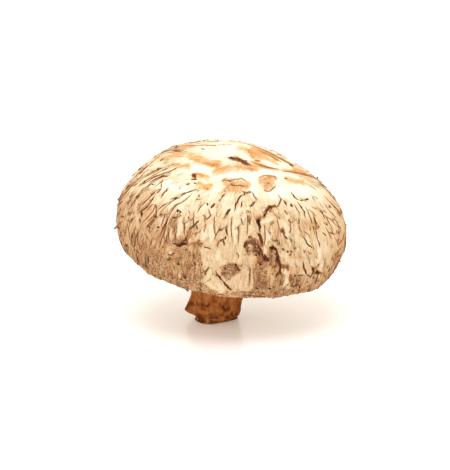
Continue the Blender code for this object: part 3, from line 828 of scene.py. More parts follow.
    (Mark.SCAR, (1.2, 274.5, 155.5, 282, 159, 288.5, 162)), (Mark.CRACK, (1.6, 288.5, 162.5, 293.5, 166.5)),
    (Mark.RED, (1.6, 250, 164.5, 260.5, 166.5, 271.5, 169, 278.5, 170)),
    (Mark.PEEL, (2, 266, 158.5, 273.5, 162, 280, 166.5), (2.5, 252, 162, 264, 165.5),
     (3, 282, 170, 295, 171.5, 311.5, 177), (4, 252, 148, 264, 152, 276, 159)),
    (Mark.WHITE, (3, 262, 161, 272, 165, 284, 168)),
    (Mark.RUST, (1.6, 248, 144, 266, 151, 278, 157.5, 290, 164), (1.4, 258, 150, 270, 156, 281, 162),
     (1.8, 255, 163.5, 266, 167, 279, 169.5), (1.8, 283, 171, 294, 172.5, 310, 176, 317, 179)),
    (Mark.PEEL, (2.5, 293, 168, 302, 171)),
    (Mark.CRUMBS, (6, 261.5, 180.5, 268, 178.5, 273.5, 179.5), (7, 269, 182.5, 268, 187),
     (5, 265, 182.5, 266, 188)),
    (Mark.RED, (1.8, 266, 178.5, 271.5, 177)),
    (Mark.FIBRE, (1.0, 257.5, 178, 264, 175.5, 273.5, 176, 276.5, 179.5),
     (1.0, 265.5, 190.5, 269, 191.5, 274.5, 187, 275.5, 185)),
    (Mark.CRACK, (1.0, 264, 190, 267, 191.5)), (Mark.FIBRE, (0.9, 267, 182.5, 270.5, 184.5)),
    (Mark.CRACK, (1.4, 284.5, 178, 287, 179)), (Mark.PEEL, (4.5, 286, 178.5, 293, 180.5, 302, 182.5)),
    (Mark.CRUMBS, (7, 228, 182.5, 238, 184, 246.5, 185), (5, 228, 189, 234.5, 188.5, 240, 191)),
    (Mark.FIBRE, (1.0, 228, 181, 235.5, 179.5, 243, 178.5, 246.5, 181.5),
     (1.0, 229, 185, 236.5, 185.5, 248.5, 186)),
    (Mark.CRACK, (1.0, 230, 184, 234.5, 185), (1.3, 234.5, 211.5, 236, 204.5, 239, 198, 243, 194),
     (1.8, 242, 191, 246, 193, 252, 192)),
    (Mark.FIBRE, (1.4, 252, 192.5, 254.5, 197, 257.5, 200)), (Mark.CRACK, (1.2, 243, 195.5, 245.5, 193.5)),
    (Mark.CREAM, (5, 242, 200, 248.5, 198)),
    (Mark.CRACK, (2.0, 249, 207.5, 252.5, 204.5, 255.5, 201.5), (1.0, 241, 207.5, 242, 201),
     (0.9, 241, 217.5, 242.5, 224)),
    (Mark.CREAM, (5, 244.5, 211, 243, 222), (5, 234.5, 217.5, 234.5, 232.5, 235.5, 243.5),
     (5, 251, 213, 251.5, 222, 249.5, 232.5)),
    (Mark.TAN, (2.4, 250, 218.5, 251.5, 219.5)),
    (Mark.FIBRE, (1.3, 277.5, 194, 281, 199, 279, 204.5, 275, 210)),
    (Mark.SCAR, (2.0, 275.5, 206, 271, 207, 266.5, 212), (2.2, 266.5, 212.5, 264.5, 216, 259.5, 218)),
    (Mark.CRACK, (2.2, 259.5, 218, 258.5, 222, 260.5, 228.5), (1.4, 271, 206.5, 275, 207, 275.5, 210)),
    (Mark.TAN, (4, 270.5, 211, 271.5, 212)), (Mark.RED, (1.4, 269, 211, 272, 211.5)),
    (Mark.CREAM, (5, 262.5, 222, 269, 219.5, 274.5, 217.5), (6, 266, 228.5, 269, 235, 266, 243.5)),
    (Mark.CRACK, (1.6, 257.5, 233, 260.5, 235.5, 262, 241.5)), (Mark.SCAR, (2.6, 259.5, 237, 261.5, 243.5)),
    (Mark.BROWN, (5, 251, 240, 256, 241, 259.5, 245.5)), (Mark.SCAR, (2.6, 249.5, 237.5, 254, 238.5)),
    (Mark.CRACK, (3.0, 244.5, 247.5, 247.5, 243.5, 253, 242), (3.4, 252.5, 245.5, 255.5, 244, 254, 248.5),
     (2.4, 255, 243.5, 260.5, 249, 262.5, 254.5), (2.4, 262.5, 254.5, 266, 257.5, 269, 261.5),
     (2.2, 254.5, 255, 260.5, 256, 265.5, 258.5)),
    (Mark.SCAR, (2.4, 257.5, 249, 260.5, 252)), (Mark.BROWN, (8, 256, 252, 260.5, 259.5, 264, 264)),
    (Mark.RED, (2.2, 256.5, 261.5, 260.5, 263.5), (1.8, 264.5, 265.5, 266, 267.5),
     (2.4, 268, 274, 270.5, 276)),
    (Mark.BROWN, (9, 273.5, 250, 274, 256.5, 273.5, 263)),
    (Mark.CRACK, (2.6, 269, 248.5, 273.5, 247.5, 278, 250)),
    (Mark.SCAR, (3.0, 277.5, 251, 278, 257.5, 277, 263)), (Mark.CRACK, (1.6, 272, 267.5, 277, 265.5)),
    (Mark.CREAM, (4.5, 264.5, 248, 266, 253)), (Mark.BROWN, (13, 259.5, 270.5, 260.5, 284.5)),
    (Mark.TAN, (8, 271.5, 271.5, 271.5, 281.5)),
    (Mark.CRACK, (1.4, 275.5, 277, 280, 270.5), (1.2, 281, 265, 280, 275)),
    (Mark.BROWN, (3, 280, 265, 286.5, 266)), (Mark.RED, (1.6, 283.5, 265.5, 287.5, 267)),
    (Mark.PLATE, (12, 247, 262, 247, 285)),
    (Mark.PALE, (6, 240, 276, 242, 288), (6, 233.5, 281.5, 235.5, 288)),
    (Mark.BROWN, (8, 228, 267, 233.5, 266, 238, 269.5), (5, 231.5, 272.5, 234.5, 271.5)),
    (Mark.CRACK, (1.4, 234.5, 263.5, 236, 265, 236, 268), (1.2, 238, 271.5, 240, 269.5),
     (1.8, 228, 286.5, 231.5, 289)),
    (Mark.FIBRE, (1.0, 236.5, 252, 239, 255.5, 238, 258.5)),
    (Mark.CREAM, (7, 280, 220.5, 286.5, 228.5, 288.5, 235)),
    (Mark.SCAR, (3.6, 279.5, 231.5, 282, 229.5, 284, 232.5)),
    (Mark.CRACK, (1.6, 283, 232.5, 285.5, 237.5, 287, 239)), (Mark.RED, (1.6, 281, 229.5, 283, 230)),
    (Mark.TAN, (5, 273.5, 224, 275.5, 232.5, 274.5, 241.5)),
    (Mark.PALE, (5, 295, 225, 296.5, 238, 297.5, 243.5)), (Mark.TAN, (3, 292, 213, 293, 228.5)),
    (Mark.CREAM, (5, 286.5, 214, 287.5, 220.5)),
    (Mark.CRACK, (1.4, 282, 249, 284.5, 250), (1.4, 287, 251.5, 288.5, 252), (1.2, 290.5, 252, 292, 251.5)),
    (Mark.FIBRE, (1.0, 288.5, 255.5, 292, 253)),
    (Mark.CRACK, (1.3, 291.5, 192.5, 295, 197.5, 299, 200), (1.2, 299, 200, 304, 200, 309, 199),
     (1.0, 306, 200, 308.5, 197.5), (2.4, 291, 203.5, 292, 207)),
    (Mark.FIBRE, (1.2, 283.5, 200.5, 286.5, 203.5)),
    (Mark.CRACK, (1.0, 284, 200.5, 287, 206), (1.0, 297.5, 202, 304, 211, 305.5, 217.5),
     (1.2, 298.5, 217.5, 299.5, 229.5, 303, 236), (1.3, 303, 236, 307, 243.5, 314, 249),
     (1.3, 309, 209.5, 313.5, 213, 315.5, 222, 315.5, 229.5)),
    (Mark.FIBRE, (1.3, 315.5, 229.5, 317, 239, 320, 245.5)),
    (Mark.CRACK, (1.1, 317, 207.5, 322.5, 213.5, 325.5, 220.5)),
    (Mark.FIBRE, (1.1, 324.5, 215.5, 332, 220.5, 337.5, 227), (1.0, 323.5, 195.5, 332, 204.5, 337.5, 213),
     (0.9, 329, 191.5, 336.5, 200, 341, 211)),
    (Mark.CRACK, (1.2, 328.5, 207, 330.5, 208)), (Mark.SCAR, (3.0, 323.5, 223, 329, 224)),
    (Mark.CRACK, (1.4, 325.5, 224.5, 329.5, 225)), (Mark.SCAR, (2.4, 331, 219.5, 333.5, 220.5)),
    (Mark.CRACK, (1.4, 322.5, 233, 326, 235.5)), (Mark.SCAR, (2.0, 336.5, 234, 341, 231)),
    (Mark.FIBRE, (1.1, 336.5, 222, 341, 228.5), (1.0, 325.5, 227, 332, 239), (1.0, 329, 232.5, 332, 248)),
    (Mark.TAN, (7, 306, 223, 308.5, 230.5, 311.5, 237)),
    (Mark.PALE, (5, 304, 239, 309.5, 243.5), (4, 316, 237, 318, 243.5)),
    (Mark.CREAM, (8, 318.5, 250, 319, 259.5, 319.5, 269.5)), (Mark.PALE, (5, 308.5, 252, 310.5, 263)),
    (Mark.CRACK, (1.2, 305, 250.5, 309, 253, 309.5, 257.5)), (Mark.CREAM, (6, 299.5, 250, 302, 255.5)),
    (Mark.PALE, (8, 286.5, 257.5, 295, 263, 304, 262), (7, 282, 253, 286.5, 255.5)),
    (Mark.TAN, (8, 293, 269.5, 302, 271.5)), (Mark.CRACK, (2.0, 303, 261, 304, 267.5, 307, 275)),
    (Mark.SCAR, (2.6, 312.5, 269.5, 315, 272.5)),
    (Mark.CRACK, (1.8, 313, 269, 316, 272, 322, 273), (1.2, 307, 275, 311.5, 277)),
    (Mark.PLATE, (9, 284, 271.5, 284, 279.5, 284.5, 286)), (Mark.PALE, (5, 288.5, 271.5, 288.5, 287)),
    (Mark.FIBRE, (1.2, 289.5, 275, 291, 282.5)), (Mark.BROWN, (6, 293, 279.5, 298.5, 278)),
    (Mark.CRACK, (1.6, 290, 275, 297.5, 276, 304, 275)), (Mark.BROWN, (5, 297.5, 283.5, 304, 277)),
    (Mark.CRACK, (1.3, 292, 287, 298.5, 284.5)), (Mark.BROWN, (5, 310.5, 278, 317, 279.5)),
    (Mark.CRACK, (1.3, 267.5, 289, 271.5, 289), (1.1, 293, 295.5, 297.5, 296)),
    (Mark.FIBRE, (1.2, 242, 291.5, 256, 292.5, 264, 293.5), (1.1, 244.5, 295.5, 260.5, 296.5)),
    (Mark.CRACK, (2.4, 243.5, 247, 245.5, 243.5, 250, 241.5, 255, 242.5), (2.0, 248, 237.5, 252, 237),
     (2.8, 258, 233, 260.5, 236.5, 262.5, 242), (2.2, 258.5, 218.5, 257.5, 221.5, 259.5, 226),
     (3.2, 252, 246, 255, 245, 258, 248.5), (2.6, 255.5, 250, 260, 253.5, 264, 258.5, 268, 262),
     (2.4, 269, 248.5, 272.5, 247.5, 276.5, 248.5), (2.2, 277, 251, 278, 258, 281, 266, 279, 274)),
    (Mark.RUST, (2.0, 257, 262, 259.5, 263.5), (1.8, 262.5, 262.5, 266, 267)),
    (Mark.CRACK, (1.4, 266, 212.5, 270, 207.5, 274.5, 206.5, 276.5, 210)),
    (Mark.SCAR, (3.2, 244, 246.5, 246.5, 242.5, 252.5, 241), (3.2, 252, 244, 256, 247, 259, 244),
     (3.0, 258, 234, 261.5, 238, 262.5, 245), (2.6, 257.5, 217.5, 259, 224, 260.5, 232),
     (2.8, 255, 250, 262, 256, 269, 260.5), (2.2, 264.5, 212, 268.5, 207, 274, 206, 276.5, 210)),
    (Mark.PEEL, (4, 256, 259, 262, 265)),
    (Mark.PLATE, (6, 215, 262, 217, 270, 222, 279, 228, 287), (6, 229, 284.5, 235, 280, 241, 276),
     (8, 234, 287, 242, 281)),
    (Mark.BROWN, (6, 224, 273, 231, 273.5, 238, 268.5)), (Mark.CREAM, (7, 211, 271, 207, 279, 208, 284)),
    (Mark.PALE, (7, 204, 281.5, 214, 285, 224, 289), (5, 212.5, 274, 216, 281, 221, 286)),
    (Mark.LIFT, (22, 313, 242, 315, 256, 310, 276), (20, 320, 198, 332, 214, 335, 226),
     (24, 140, 184, 149, 175, 158, 162)),
    (Mark.SHADE, (22, 142, 234, 152, 238, 162, 248), (14, 196, 200, 222, 202, 252, 203),
     (18, 122, 196, 121, 220, 127, 246), (16, 146, 208, 150, 228, 156, 246),
     (14, 178, 236, 186, 240, 196, 244)),
    (Mark.GOLD, (18, 328, 192, 337, 214, 338, 244), (12, 318, 214, 324, 224, 328, 236)),
    (Mark.CREAM, (8, 317.5, 250, 319.5, 260, 321, 269.5)),
    (Mark.SCAR, (3, 312, 266, 315.5, 272, 322, 273.5)),
    (Mark.CREAM, (7, 284.5, 272, 285.5, 280, 283.5, 288)),
    (Mark.SCAR, (2.4, 279, 266, 283, 267.5, 288, 267)),
    (Mark.FIBRE, (1.0, 128.5, 187.5, 138, 175.5, 148.5, 165.5, 164.5, 151.5),
     (1.0, 119.5, 202.5, 127, 191.5, 138.5, 179, 148.5, 169),
     (1.0, 139.5, 186.5, 153.5, 177.5, 167, 171.5, 176, 169), (1.0, 138.5, 179, 153.5, 171.5, 162, 168),
     (1.0, 149.5, 182.5, 159.5, 177, 168.5, 176.5), (1.0, 153.5, 187.5, 162, 181.5, 163.5, 179),
     (1.0, 161.5, 196.5, 163.5, 193, 168.5, 190),
     (1.0, 160, 212.5, 166, 206.5, 177, 197.5, 187, 192.5, 198.5, 189),
     (1.0, 169.5, 200, 179.5, 195, 192, 191.5, 199.5, 187.5),
     (1.0, 167, 220, 171, 212.5, 174.5, 207.5, 178.5, 202.5), (1.0, 162, 230, 167, 220),
     (1.0, 159.5, 237.5, 164.5, 226.5, 168.5, 217.5), (1.0, 146, 229, 149.5, 225, 158.5, 216.5),
     (1.0, 142, 224, 153.5, 210, 156, 202.5), (1.0, 136, 200, 139, 192.5, 149.5, 186.5),
     (1.0, 119.5, 225, 121, 237.5), (1.0, 124.5, 236.5, 126, 230), (1.0, 131, 245, 132, 235, 136, 227.5),
     (1.0, 135, 247.5, 136, 237.5, 139, 230), (1.0, 139, 249, 140, 242.5, 142, 235, 144.5, 227.5),
     (1.0, 142, 247.5, 143.5, 237.5), (1.0, 159.5, 247.5, 162, 237.5, 166, 230, 167, 222.5),
     (1.0, 166, 242.5, 167, 235, 169, 225, 171, 217.5), (1.0, 174.5, 240, 177, 230, 176, 222.5),
     (1.0, 324, 204, 330, 211.5, 336.5, 219), (1.0, 330, 201.5, 337.5, 210, 340, 217.5),
     (1.0, 332.5, 217.5, 337.5, 222.5, 339.5, 227.5), (1.0, 325, 215, 330, 225, 332.5, 230),
     (1.0, 304, 231.5, 309, 235, 311.5, 241.5), (1.0, 317.5, 240, 320, 247.5),
     (1.0, 305, 206.5, 309, 214, 312.5, 225, 315, 235), (1.0, 294, 204, 297.5, 210, 300, 216.5),
     (1.0, 327.5, 231.5, 335, 235, 337.5, 230), (1.0, 337.5, 245, 342.5, 240, 345, 230),
     (1.0, 331.5, 257.5, 337.5, 252.5, 342.5, 246.5), (1.0, 205, 214, 205.5, 224, 204.5, 233),
     (1.0, 214.5, 216, 214, 226, 215.5, 236), (1.0, 232, 216, 231, 226, 232, 238),
     (1.0, 238.5, 222, 239, 232, 238, 244), (1.0, 247, 214, 248, 224, 246.5, 236),
     (1.0, 264, 224, 265.5, 236, 264, 246), (1.0, 277, 218, 279, 228, 277.5, 242),
     (1.0, 290, 222, 290.5, 234, 292, 246), (1.0, 249.5, 266, 250, 276, 249, 286),
     (1.0, 186, 214, 184.5, 224, 185, 236), (1.0, 194, 212, 193, 222, 194.5, 230)),
)


@dataclass
class Canvas:
    """What strokes have made of a surface, point by point."""

    tone: Array
    warmth: Array
    grain: Array
    rise: Array  # in millimetres
    broken: Array  # where the outlines of plates show, from 0 to 1

    def paint(self, stroke: Stroke, u: Array, v: Array, weight: Array) -> None:
        """Lays a stroke.

        Args:
            stroke: the stroke.
            u: how far right each point lies on the stroke's map, in pixels.
            v: how far down it lies there.
            weight: how much of the stroke each point takes.
        """
        look, line = stroke.mark.value, np.array(stroke.line)
        half = stroke.width / 2
        left, top = line.min(axis=0) - half - look.edge
        right, bottom = line.max(axis=0) + half + look.edge
        near = np.flatnonzero((u > left) & (u < right) & (v > top) & (v < bottom) & (weight > 0))
        if not len(near):
            return
        place = np.column_stack((u[near], v[near]))
        depth = np.full(len(near), -1e3)
        beside, down = np.zeros(len(near)), np.zeros(len(near))
        legs = len(line) - 1
        for leg in range(legs):
            run = line[leg + 1] - line[leg]
            length = max(math.hypot(*run), 1e-6)
            offset = place - line[leg]
            along = (offset @ run / length**2).clip(0, 1)
            away = np.linalg.norm(offset - along[:, None] * run, axis=1)
            taper = 1 - look.pointed * (2 * (leg + along) / legs - 1) ** 2
            nearer = half * taper - away > depth
            depth = np.where(nearer, half * taper - away, depth)
            beside = np.where(nearer, (offset[:, 0] * run[1] - offset[:, 1] * run[0]) / length, beside)
            down = np.where(nearer, along * length, down)
        streaks = noise_at(np.column_stack((beside, 0.15 * down, 0 * down)), 1.7, 2, float(line[0].sum()))
        inner = smooth(depth / max(half, 1.0))
        share = smooth(depth / look.edge + 0.5) * look.share * weight[near]
        share *= 1 - look.streak * smooth(0.45 - 1.3 * streaks) * (1.0 - 0.5 * inner)
        lower_edge = (place[:, 1] - top) / (bottom - top)
        rise = look.rise * (0.4 + 0.9 * lower_edge if look.rise > 0.15 else 1.0)
        self.tone[near] += (look.tone + 0.12 * streaks * look.streak - self.tone[near]) * share
        outline = np.exp(-(((depth + 0.5) / OUTLINE_HALF) ** 2)) * self.broken[near]
        self.tone[near] += (OUTLINE_TONE - self.tone[near]) * (outline * look.outline * weight[near])
        self.warmth[near] += (look.warmth - self.warmth[near]) * share
        self.grain[near] += (look.grain - self.grain[near]) * share
        self.rise[near] += (rise - self.rise[near]) * share


@dataclass(frozen=True)
class SkinFinish:
    """Torn mushroom skin, coloured by the tone, warmth and grain stored on the mesh."""

    plain: Stops = (
        (0.00, linear(253, 247, 232)), (0.15, linear(243, 228, 196)), (0.30, linear(230, 202, 163)),
        (0.45, linear(209, 171, 129)), (0.60, linear(181, 136, 95)), (0.75, linear(143, 97, 65)),
        (0.90, linear(92, 57, 40)), (1.00, linear(58, 30, 22)),
    )
    warm: Stops = (
        (0.00, linear(255, 244, 222)), (0.25, linear(250, 212, 150)), (0.45, linear(236, 166, 98)),
        (0.60, linear(206, 120, 72)), (0.80, linear(138, 70, 50)), (1.00, linear(66, 30, 28)),
    )
    roughness: float = 0.85
    gloss: float = 0.0

    def material(self, name: str) -> bpy.types.Material:
        """The finish as a node material.

        Args:
            name: the material's name.

        Returns:
            The material.
        """
        graph = Graph(name)
        flow, place = graph.vector("flow"), graph.place()
        tone, warmth, grain = graph.attribute("tone"), graph.attribute("warmth"), graph.attribute("grain")
        fine = graph.noise(graph.stretched(flow, (1.0, 1.0, 0.10)), 0.36 * MM, 3.0, 0.6)
        broad = graph.noise(graph.stretched(flow, (1.0, 1.0, 0.16)), 1.1 * MM, 2.0, 0.55)
        crumb = graph.noise(place, 0.5 * MM, 3.0, 0.65)
        cloud = graph.noise(place, 4.0 * MM, 2.0, 0.5)
        depth = (tone * 1.05 + 0.08).clamped(0.0, 0.62)
        strands = (fine * 0.9 + broad * 0.6) * (1.0 - grain * 0.45)
        crumbs = crumb * (grain * 1.5 + 0.3)
        speck = crumb.between(0.09, 0.20) * grain * 0.22
        shifted = (tone + (strands + crumbs) * depth + speck + cloud * 0.14).clamped()
        colour = graph.mix(warmth, graph.ramp(shifted, self.plain), graph.ramp(shifted, self.warm))
        looks = {"Base Color": colour, "Roughness": self.roughness, "Specular IOR Level": self.gloss}
        relief = (strands + crumbs) * (tone * 0.9 + 0.5)
        return graph.surface({**looks, "Normal": graph.bump(relief, 0.35 * MM, 0.7)})


@dataclass
class CapSkin:
    """The cap's flesh and skin: one closed, finely shaped body."""

    form: CapForm
    view: PhotoView
    finish: SkinFinish = SkinFinish()
    sides: int = 66
    cuts: int = 9
    crown_rows: int = 22
    flank_rows: int = 104
    crown_edge: float = 14.0 * MM  # where the rows grow closer
    first_ring: float = 1.2 * MM
    lip_rows: int = 7
    ceiling_rows: int = 3
    crowding: float = 0.4  # of the columns, towards the front
    front: float = -math.pi / 2
    search: tuple[int, int] = (361, 110)  # places round and down the cap where a pixel is first looked for
    hidden_miss: float = 50.0  # pixels that a hidden place counts as further off
    aims: int = 3  # how often that place is then bettered
    probe: float = 0.1 * MM  # how far off the skin's slope in the picture is read
    edge_on: float = 1e5  # least area in the picture, in square pixels for a square metre of skin
    under_looks: tuple[tuple[str, float], ...] = (("tone", 0.45), ("warmth", 0.1), ("grain", 0.5))
    seed: int = 4

    def rings(self) -> Array:
        """Distances from the crown at which the outer skin has a ring of points."""
        crown = np.linspace(self.first_ring, self.crown_edge, self.crown_rows)
        flank = np.linspace(self.crown_edge, self.form.reach, self.flank_rows)
        return np.concatenate(([0.0], crown, flank[1:]))

    def section(self) -> list[Pair]:
        """The closed section of the cap.

        Returns:
            Its (radius, height) points, from the crown round to the ceiling over the stem.
        """
        form = self.form
        outer = list(zip(*form.at_arc(self.rings())))
        lip = []
        for turn in np.linspace(0.0, math.pi / 2, self.lip_rows + 1)[1:]:
            height = form.lip_rise * (1 - math.cos(turn)) - form.flank_drop
            lip.append((form.margin_radius - form.lip_width * math.sin(turn), height))
        radii = np.linspace(form.lip_edge, form.stem_hole, self.ceiling_rows)
        ceiling = [(float(r), float(form.ceiling(r))) for r in radii]
        return outer + lip + ceiling + [(0.0, form.ceiling_centre)]

    def build(self) -> None:
        """Makes the piece."""
        shape = spun(self.section(), self.sides, self.cuts)
        piece = mesh_piece("cap_skin", shape, self.finish.material("cap_skin"))
        mesh = piece.data
        points = read_points(mesh)
        turn = np.arctan2(points[:, 1], points[:, 0]) - self.front
        azimuth = self.front + turn - self.crowding * np.sin(turn)
        radius = np.hypot(points[:, 0], points[:, 1])
        index, arc = self.outer_points(radius, points[:, 2])
        canvas = self.pattern(azimuth[index], arc).canvas()
        above = self.form.stand(arc) + canvas.rise * MM
        out = radius * self.form.outline_share(azimuth)
        placed = self.form.to_world(polar(out, azimuth, points[:, 2]))
        slide = 0.5 * np.clip(canvas.rise, 0.0, None) * MM
        placed[index] = self.form.skin(azimuth[index], arc, above, slide)
        write_points(mesh, placed)
        for name, under in self.under_looks:
            values = np.full(len(points), under)
            values[index] = getattr(canvas, name)
            write_attribute(mesh, name, values)
        flow = self.form.flow(azimuth, points[:, 2])
        flow[index] = self.form.flow(azimuth[index], arc)
        write_attribute(mesh, "flow", flow)
        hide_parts("cap")

    def pattern(self, azimuth: Array, arc: Array) -> "CapPattern":
        """What decides how the skin looks at some points of it."""
        return CapPattern(self.form, self.view, self.seed, azimuth, arc)

    def under(self, pixels: Array) -> tuple[Array, Array]:
        """Where on the skin pixels of the photograph lie.

        Args:
            pixels: rows of column and row.

        Returns:
            Their azimuths, and their distances from the crown.
        """
        turns = np.linspace(-math.pi, math.pi, self.search[0])
        arcs = np.linspace(0.0, self.form.reach, self.search[1])
        azimuth, arc = (grid.ravel() for grid in np.meshgrid(turns, arcs))
        pattern = self.pattern(azimuth, arc)
        hidden = self.hidden_miss * (pattern.seen < 0.01)
        best = [int(np.argmin(np.hypot(pattern.column - x, pattern.row - y) + hidden)) for x, y in pixels]
        azimuth, arc = azimuth[best], arc[best]
        step = self.probe
        for _ in range(self.aims):
            here = self.pixels_of(azimuth, arc)
            around = (self.pixels_of(azimuth + step / self.form.radius, arc) - here) / step
            down = (self.pixels_of(azimuth, arc + step) - here) / step
            miss = pixels - here
            area = around[:, 0] * down[:, 1] - around[:, 1] * down[:, 0]
            area = np.where(np.abs(area) < self.edge_on, np.inf, area)
            turn = (miss[:, 0] * down[:, 1] - miss[:, 1] * down[:, 0]) / area
            drop = (around[:, 0] * miss[:, 1] - around[:, 1] * miss[:, 0]) / area
            azimuth = azimuth + np.clip(turn, -MM, MM) / self.form.radius
            arc = np.clip(arc + np.clip(drop, -MM, MM), 0.5 * MM, self.form.reach)
        return azimuth, arc

    def pixels_of(self, azimuth: Array, arc: Array) -> Array:
        """Rows of column and row for points of the skin."""
        world = self.form.skin(azimuth, arc, self.form.stand(arc), 0 * arc)
        return np.column_stack(self.view.project(world))

    def outer_points(self, radius: Array, height: Array) -> tuple[Array, Array]:
        """Picks out the outer skin.

        Args:
            radius: every point's radius in the cap's own frame.
            height: its height there.

        Returns:
            Which points are on the outer skin, and how far down the cap each is.
        """
        chosen, arcs = [], []
        for arc in self.rings():
            ring_radius, ring_height = self.form.at_arc(arc)
            near = np.flatnonzero(np.hypot(radius - ring_radius, height - ring_height) < 2e-6)
            chosen.append(near)
            arcs.append(np.full(len(near), arc))
        return np.concatenate(chosen), np.concatenate(arcs)


@dataclass
class CapPattern:
    """Decides what lies where on the cap's outer skin."""

    form: CapForm
    view: PhotoView
    seed: int
    azimuth: Array
    arc: Array
    tones: tuple[Pair, ...] = (  # arc in mm, and tone of the bare skin there
        (0, 0.05), (12, 0.07), (20, 0.15), (30, 0.28), (38, 0.38), (46, 0.50), (60, 0.55),
    )
    patches: int = 70
    tiers: int = 11  # of plates, from the crown's edge down
    tier_top: float = 40.0  # in pixels, as are the next three
    tier_step: float = 12.5
    plate_gap: float = 11.0
    brown_top: float = 110.0  # from where the skin is brown
    bits: int = 1100
    cell: float = 2.2 * MM

    def __post_init__(self) -> None:
        """Works out where each point lies in the photograph, and how well it shows there."""
        zero = np.zeros(len(self.arc))
        self.radius, _ = self.form.at_arc(self.arc)
        stand = self.form.stand(self.arc)
        world = self.form.skin(self.azimuth, self.arc, stand, zero)
        outward = (self.form.skin(self.azimuth, self.arc, stand + MM, zero) - world) / MM
        self.column, self.row = self.view.project(world)
        self.seen = smooth((self.view.facing(world, outward) - 0.02) / 0.16)

    def place(self, down: float) -> Array:
        """Rows of around, around and down that patterns are laid by, with the way down scaled."""
        return polar(self.form.radius, self.azimuth, down * self.arc)

    def mottle(self, size: float, octaves: int, shift: float, down: float = 1.0) -> Array:
        """Noise over the skin, as noise_at gives it, with the way down scaled."""
        return noise_at(self.place(down), size, octaves, shift)

    def canvas(self) -> Canvas:
        """Paints the skin.

        Returns:
            The finished canvas.
        """
        canvas = self.ground()
        self.lay_by_rule(canvas)
        self.lay_cells(canvas)
        ragged = [
            self.mottle(1.0 * MM, 3, shift, 0.6) * 1.2 + self.mottle(3.2 * MM, 1, shift, 0.6) * 2.0
            for shift in (1.0, 9.0)
        ]
        for stroke in FRONT:
            wander = 0.15 if stroke.thin else min(stroke.width / 7, 1.0)
            canvas.paint(stroke, self.column + wander * ragged[0], self.row + wander * ragged[1], self.seen)
        self.lay_fibres(canvas)
        return canvas

    def ground(self) -> Canvas:
        """The skin before any stroke: paler at the crown, and brown and granular at the margin."""
        down, drift = self.arc / MM, self.mottle(7 * MM, 2, 2.0, 0.5)
        tone = np.interp(down, *zip(*self.tones)) + 0.14 * drift * np.interp(down, (8, 20), (0.2, 1.0))
        grain = smooth((down - 34 + 6 * drift) / 14)
        broken = smooth(self.mottle(1.6 * MM, 2, 51.0) / 0.3 + 0.4)
        return Canvas(np.clip(tone, 0, 1), np.full(len(tone), 0.12), grain, np.zeros(len(tone)), broken)

    def around(self, azimuth: float) -> tuple[Array, Array]:
        """A map of the skin whose middle line runs down the cap at an azimuth, in pixels."""
        return wrapped(self.azimuth - azimuth) * self.radius / PIXEL, self.arc / PIXEL

    def lay_by_rule(self, canvas: Canvas) -> None:
        """Lays plates and peel all round, where the photograph doesn't show the cap.

        Args:
            canvas: what is painted on.
        """
        torn = self.mottle(0.9 * MM, 2, 3.1, 0.3) * 3.0
        ragged = self.mottle(1.4 * MM, 2, 4.0) * 1.2
        for azimuth, stroke in self.rule_strokes(random.Random(self.seed)):
            if not stroke.thin:
                across, down = self.around(azimuth)
                canvas.paint(stroke, across + ragged, down + torn, 1.0 - self.seen)

    def rule_strokes(self, chance: random.Random) -> Iterable[tuple[float, Stroke]]:
        """Draws strokes by rule: patches near the crown, and tiers of plates under them.

        Args:
            chance: what decides.

        Returns:
            The strokes, each with the azimuth that it is laid at.
        """
        for _ in range(self.patches):
            azimuth, top = chance.uniform(-math.pi, math.pi), chance.uniform(6, 56)
            mark = chance.choice((Mark.PEEL, Mark.TAN, Mark.PEEL, Mark.WHITE))
            lean, width = chance.uniform(-6, 6), chance.uniform(5, 12)
            yield azimuth, Stroke(mark, width, ((0, top), (lean, top + chance.uniform(2, 12))))
        for tier in range(self.tiers):
            top = self.tier_top + self.tier_step * tier
            count = round(2 * math.pi * float(self.form.at_arc(top * PIXEL)[0]) / PIXEL / self.plate_gap)
            for i in range(count):
                azimuth = (i + 0.5 * (tier % 2) + chance.uniform(-0.4, 0.4)) / count * 2 * math.pi
                for stroke in self.plate_strokes(chance, tier, top):
                    yield azimuth, stroke

    def plate_strokes(self, chance: random.Random, tier: int, top: float) -> Iterable[Stroke]:
        """Draws what one place in a tier gets: at times a plate, a crack beside it and one at its foot.

        Args:
            chance: what decides.
            tier: its number, from the top.
            top: how far down the cap it is, in pixels.

        Returns:
            The strokes.
        """
        marks = (Mark.WHITE, Mark.CREAM) if tier < 3 else (Mark.CREAM, Mark.PALE, Mark.TAN)
        marks = marks if tier < 7 else (Mark.PALE, Mark.TAN, Mark.TAN, Mark.BROWN)
        start, length = top + chance.uniform(-8, 8), chance.uniform(8, 24)
        width, lean = chance.uniform(3, 9), chance.uniform(-3, 3)
        if chance.random() < 0.75:
            end = min(start + length, self.form.reach / PIXEL)
            yield Stroke(chance.choice(marks), width, ((0, start), (lean, end)))
        if chance.random() < 0.5:
            side = width / 2 * chance.choice((-1, 1))
            bend, drop = chance.uniform(-1.8, 1.8), chance.uniform(5, 20)
            line = ((side, start), (side + bend, start + drop / 2), (side - bend / 2, start + drop))
            mark = chance.choice((Mark.CRACK, Mark.FIBRE))
            yield Stroke(mark, chance.uniform(0.9, 2.2), line)
        if tier > 1 and chance.random() < 0.18:
            foot = start + length
            line = ((-width / 2, foot), (0, foot + chance.uniform(-1, 3)), (width / 2, foot))
            mark = chance.choice((Mark.SCAR, Mark.CRACK))
            yield Stroke(mark, chance.uniform(1.2, 2.6), line)

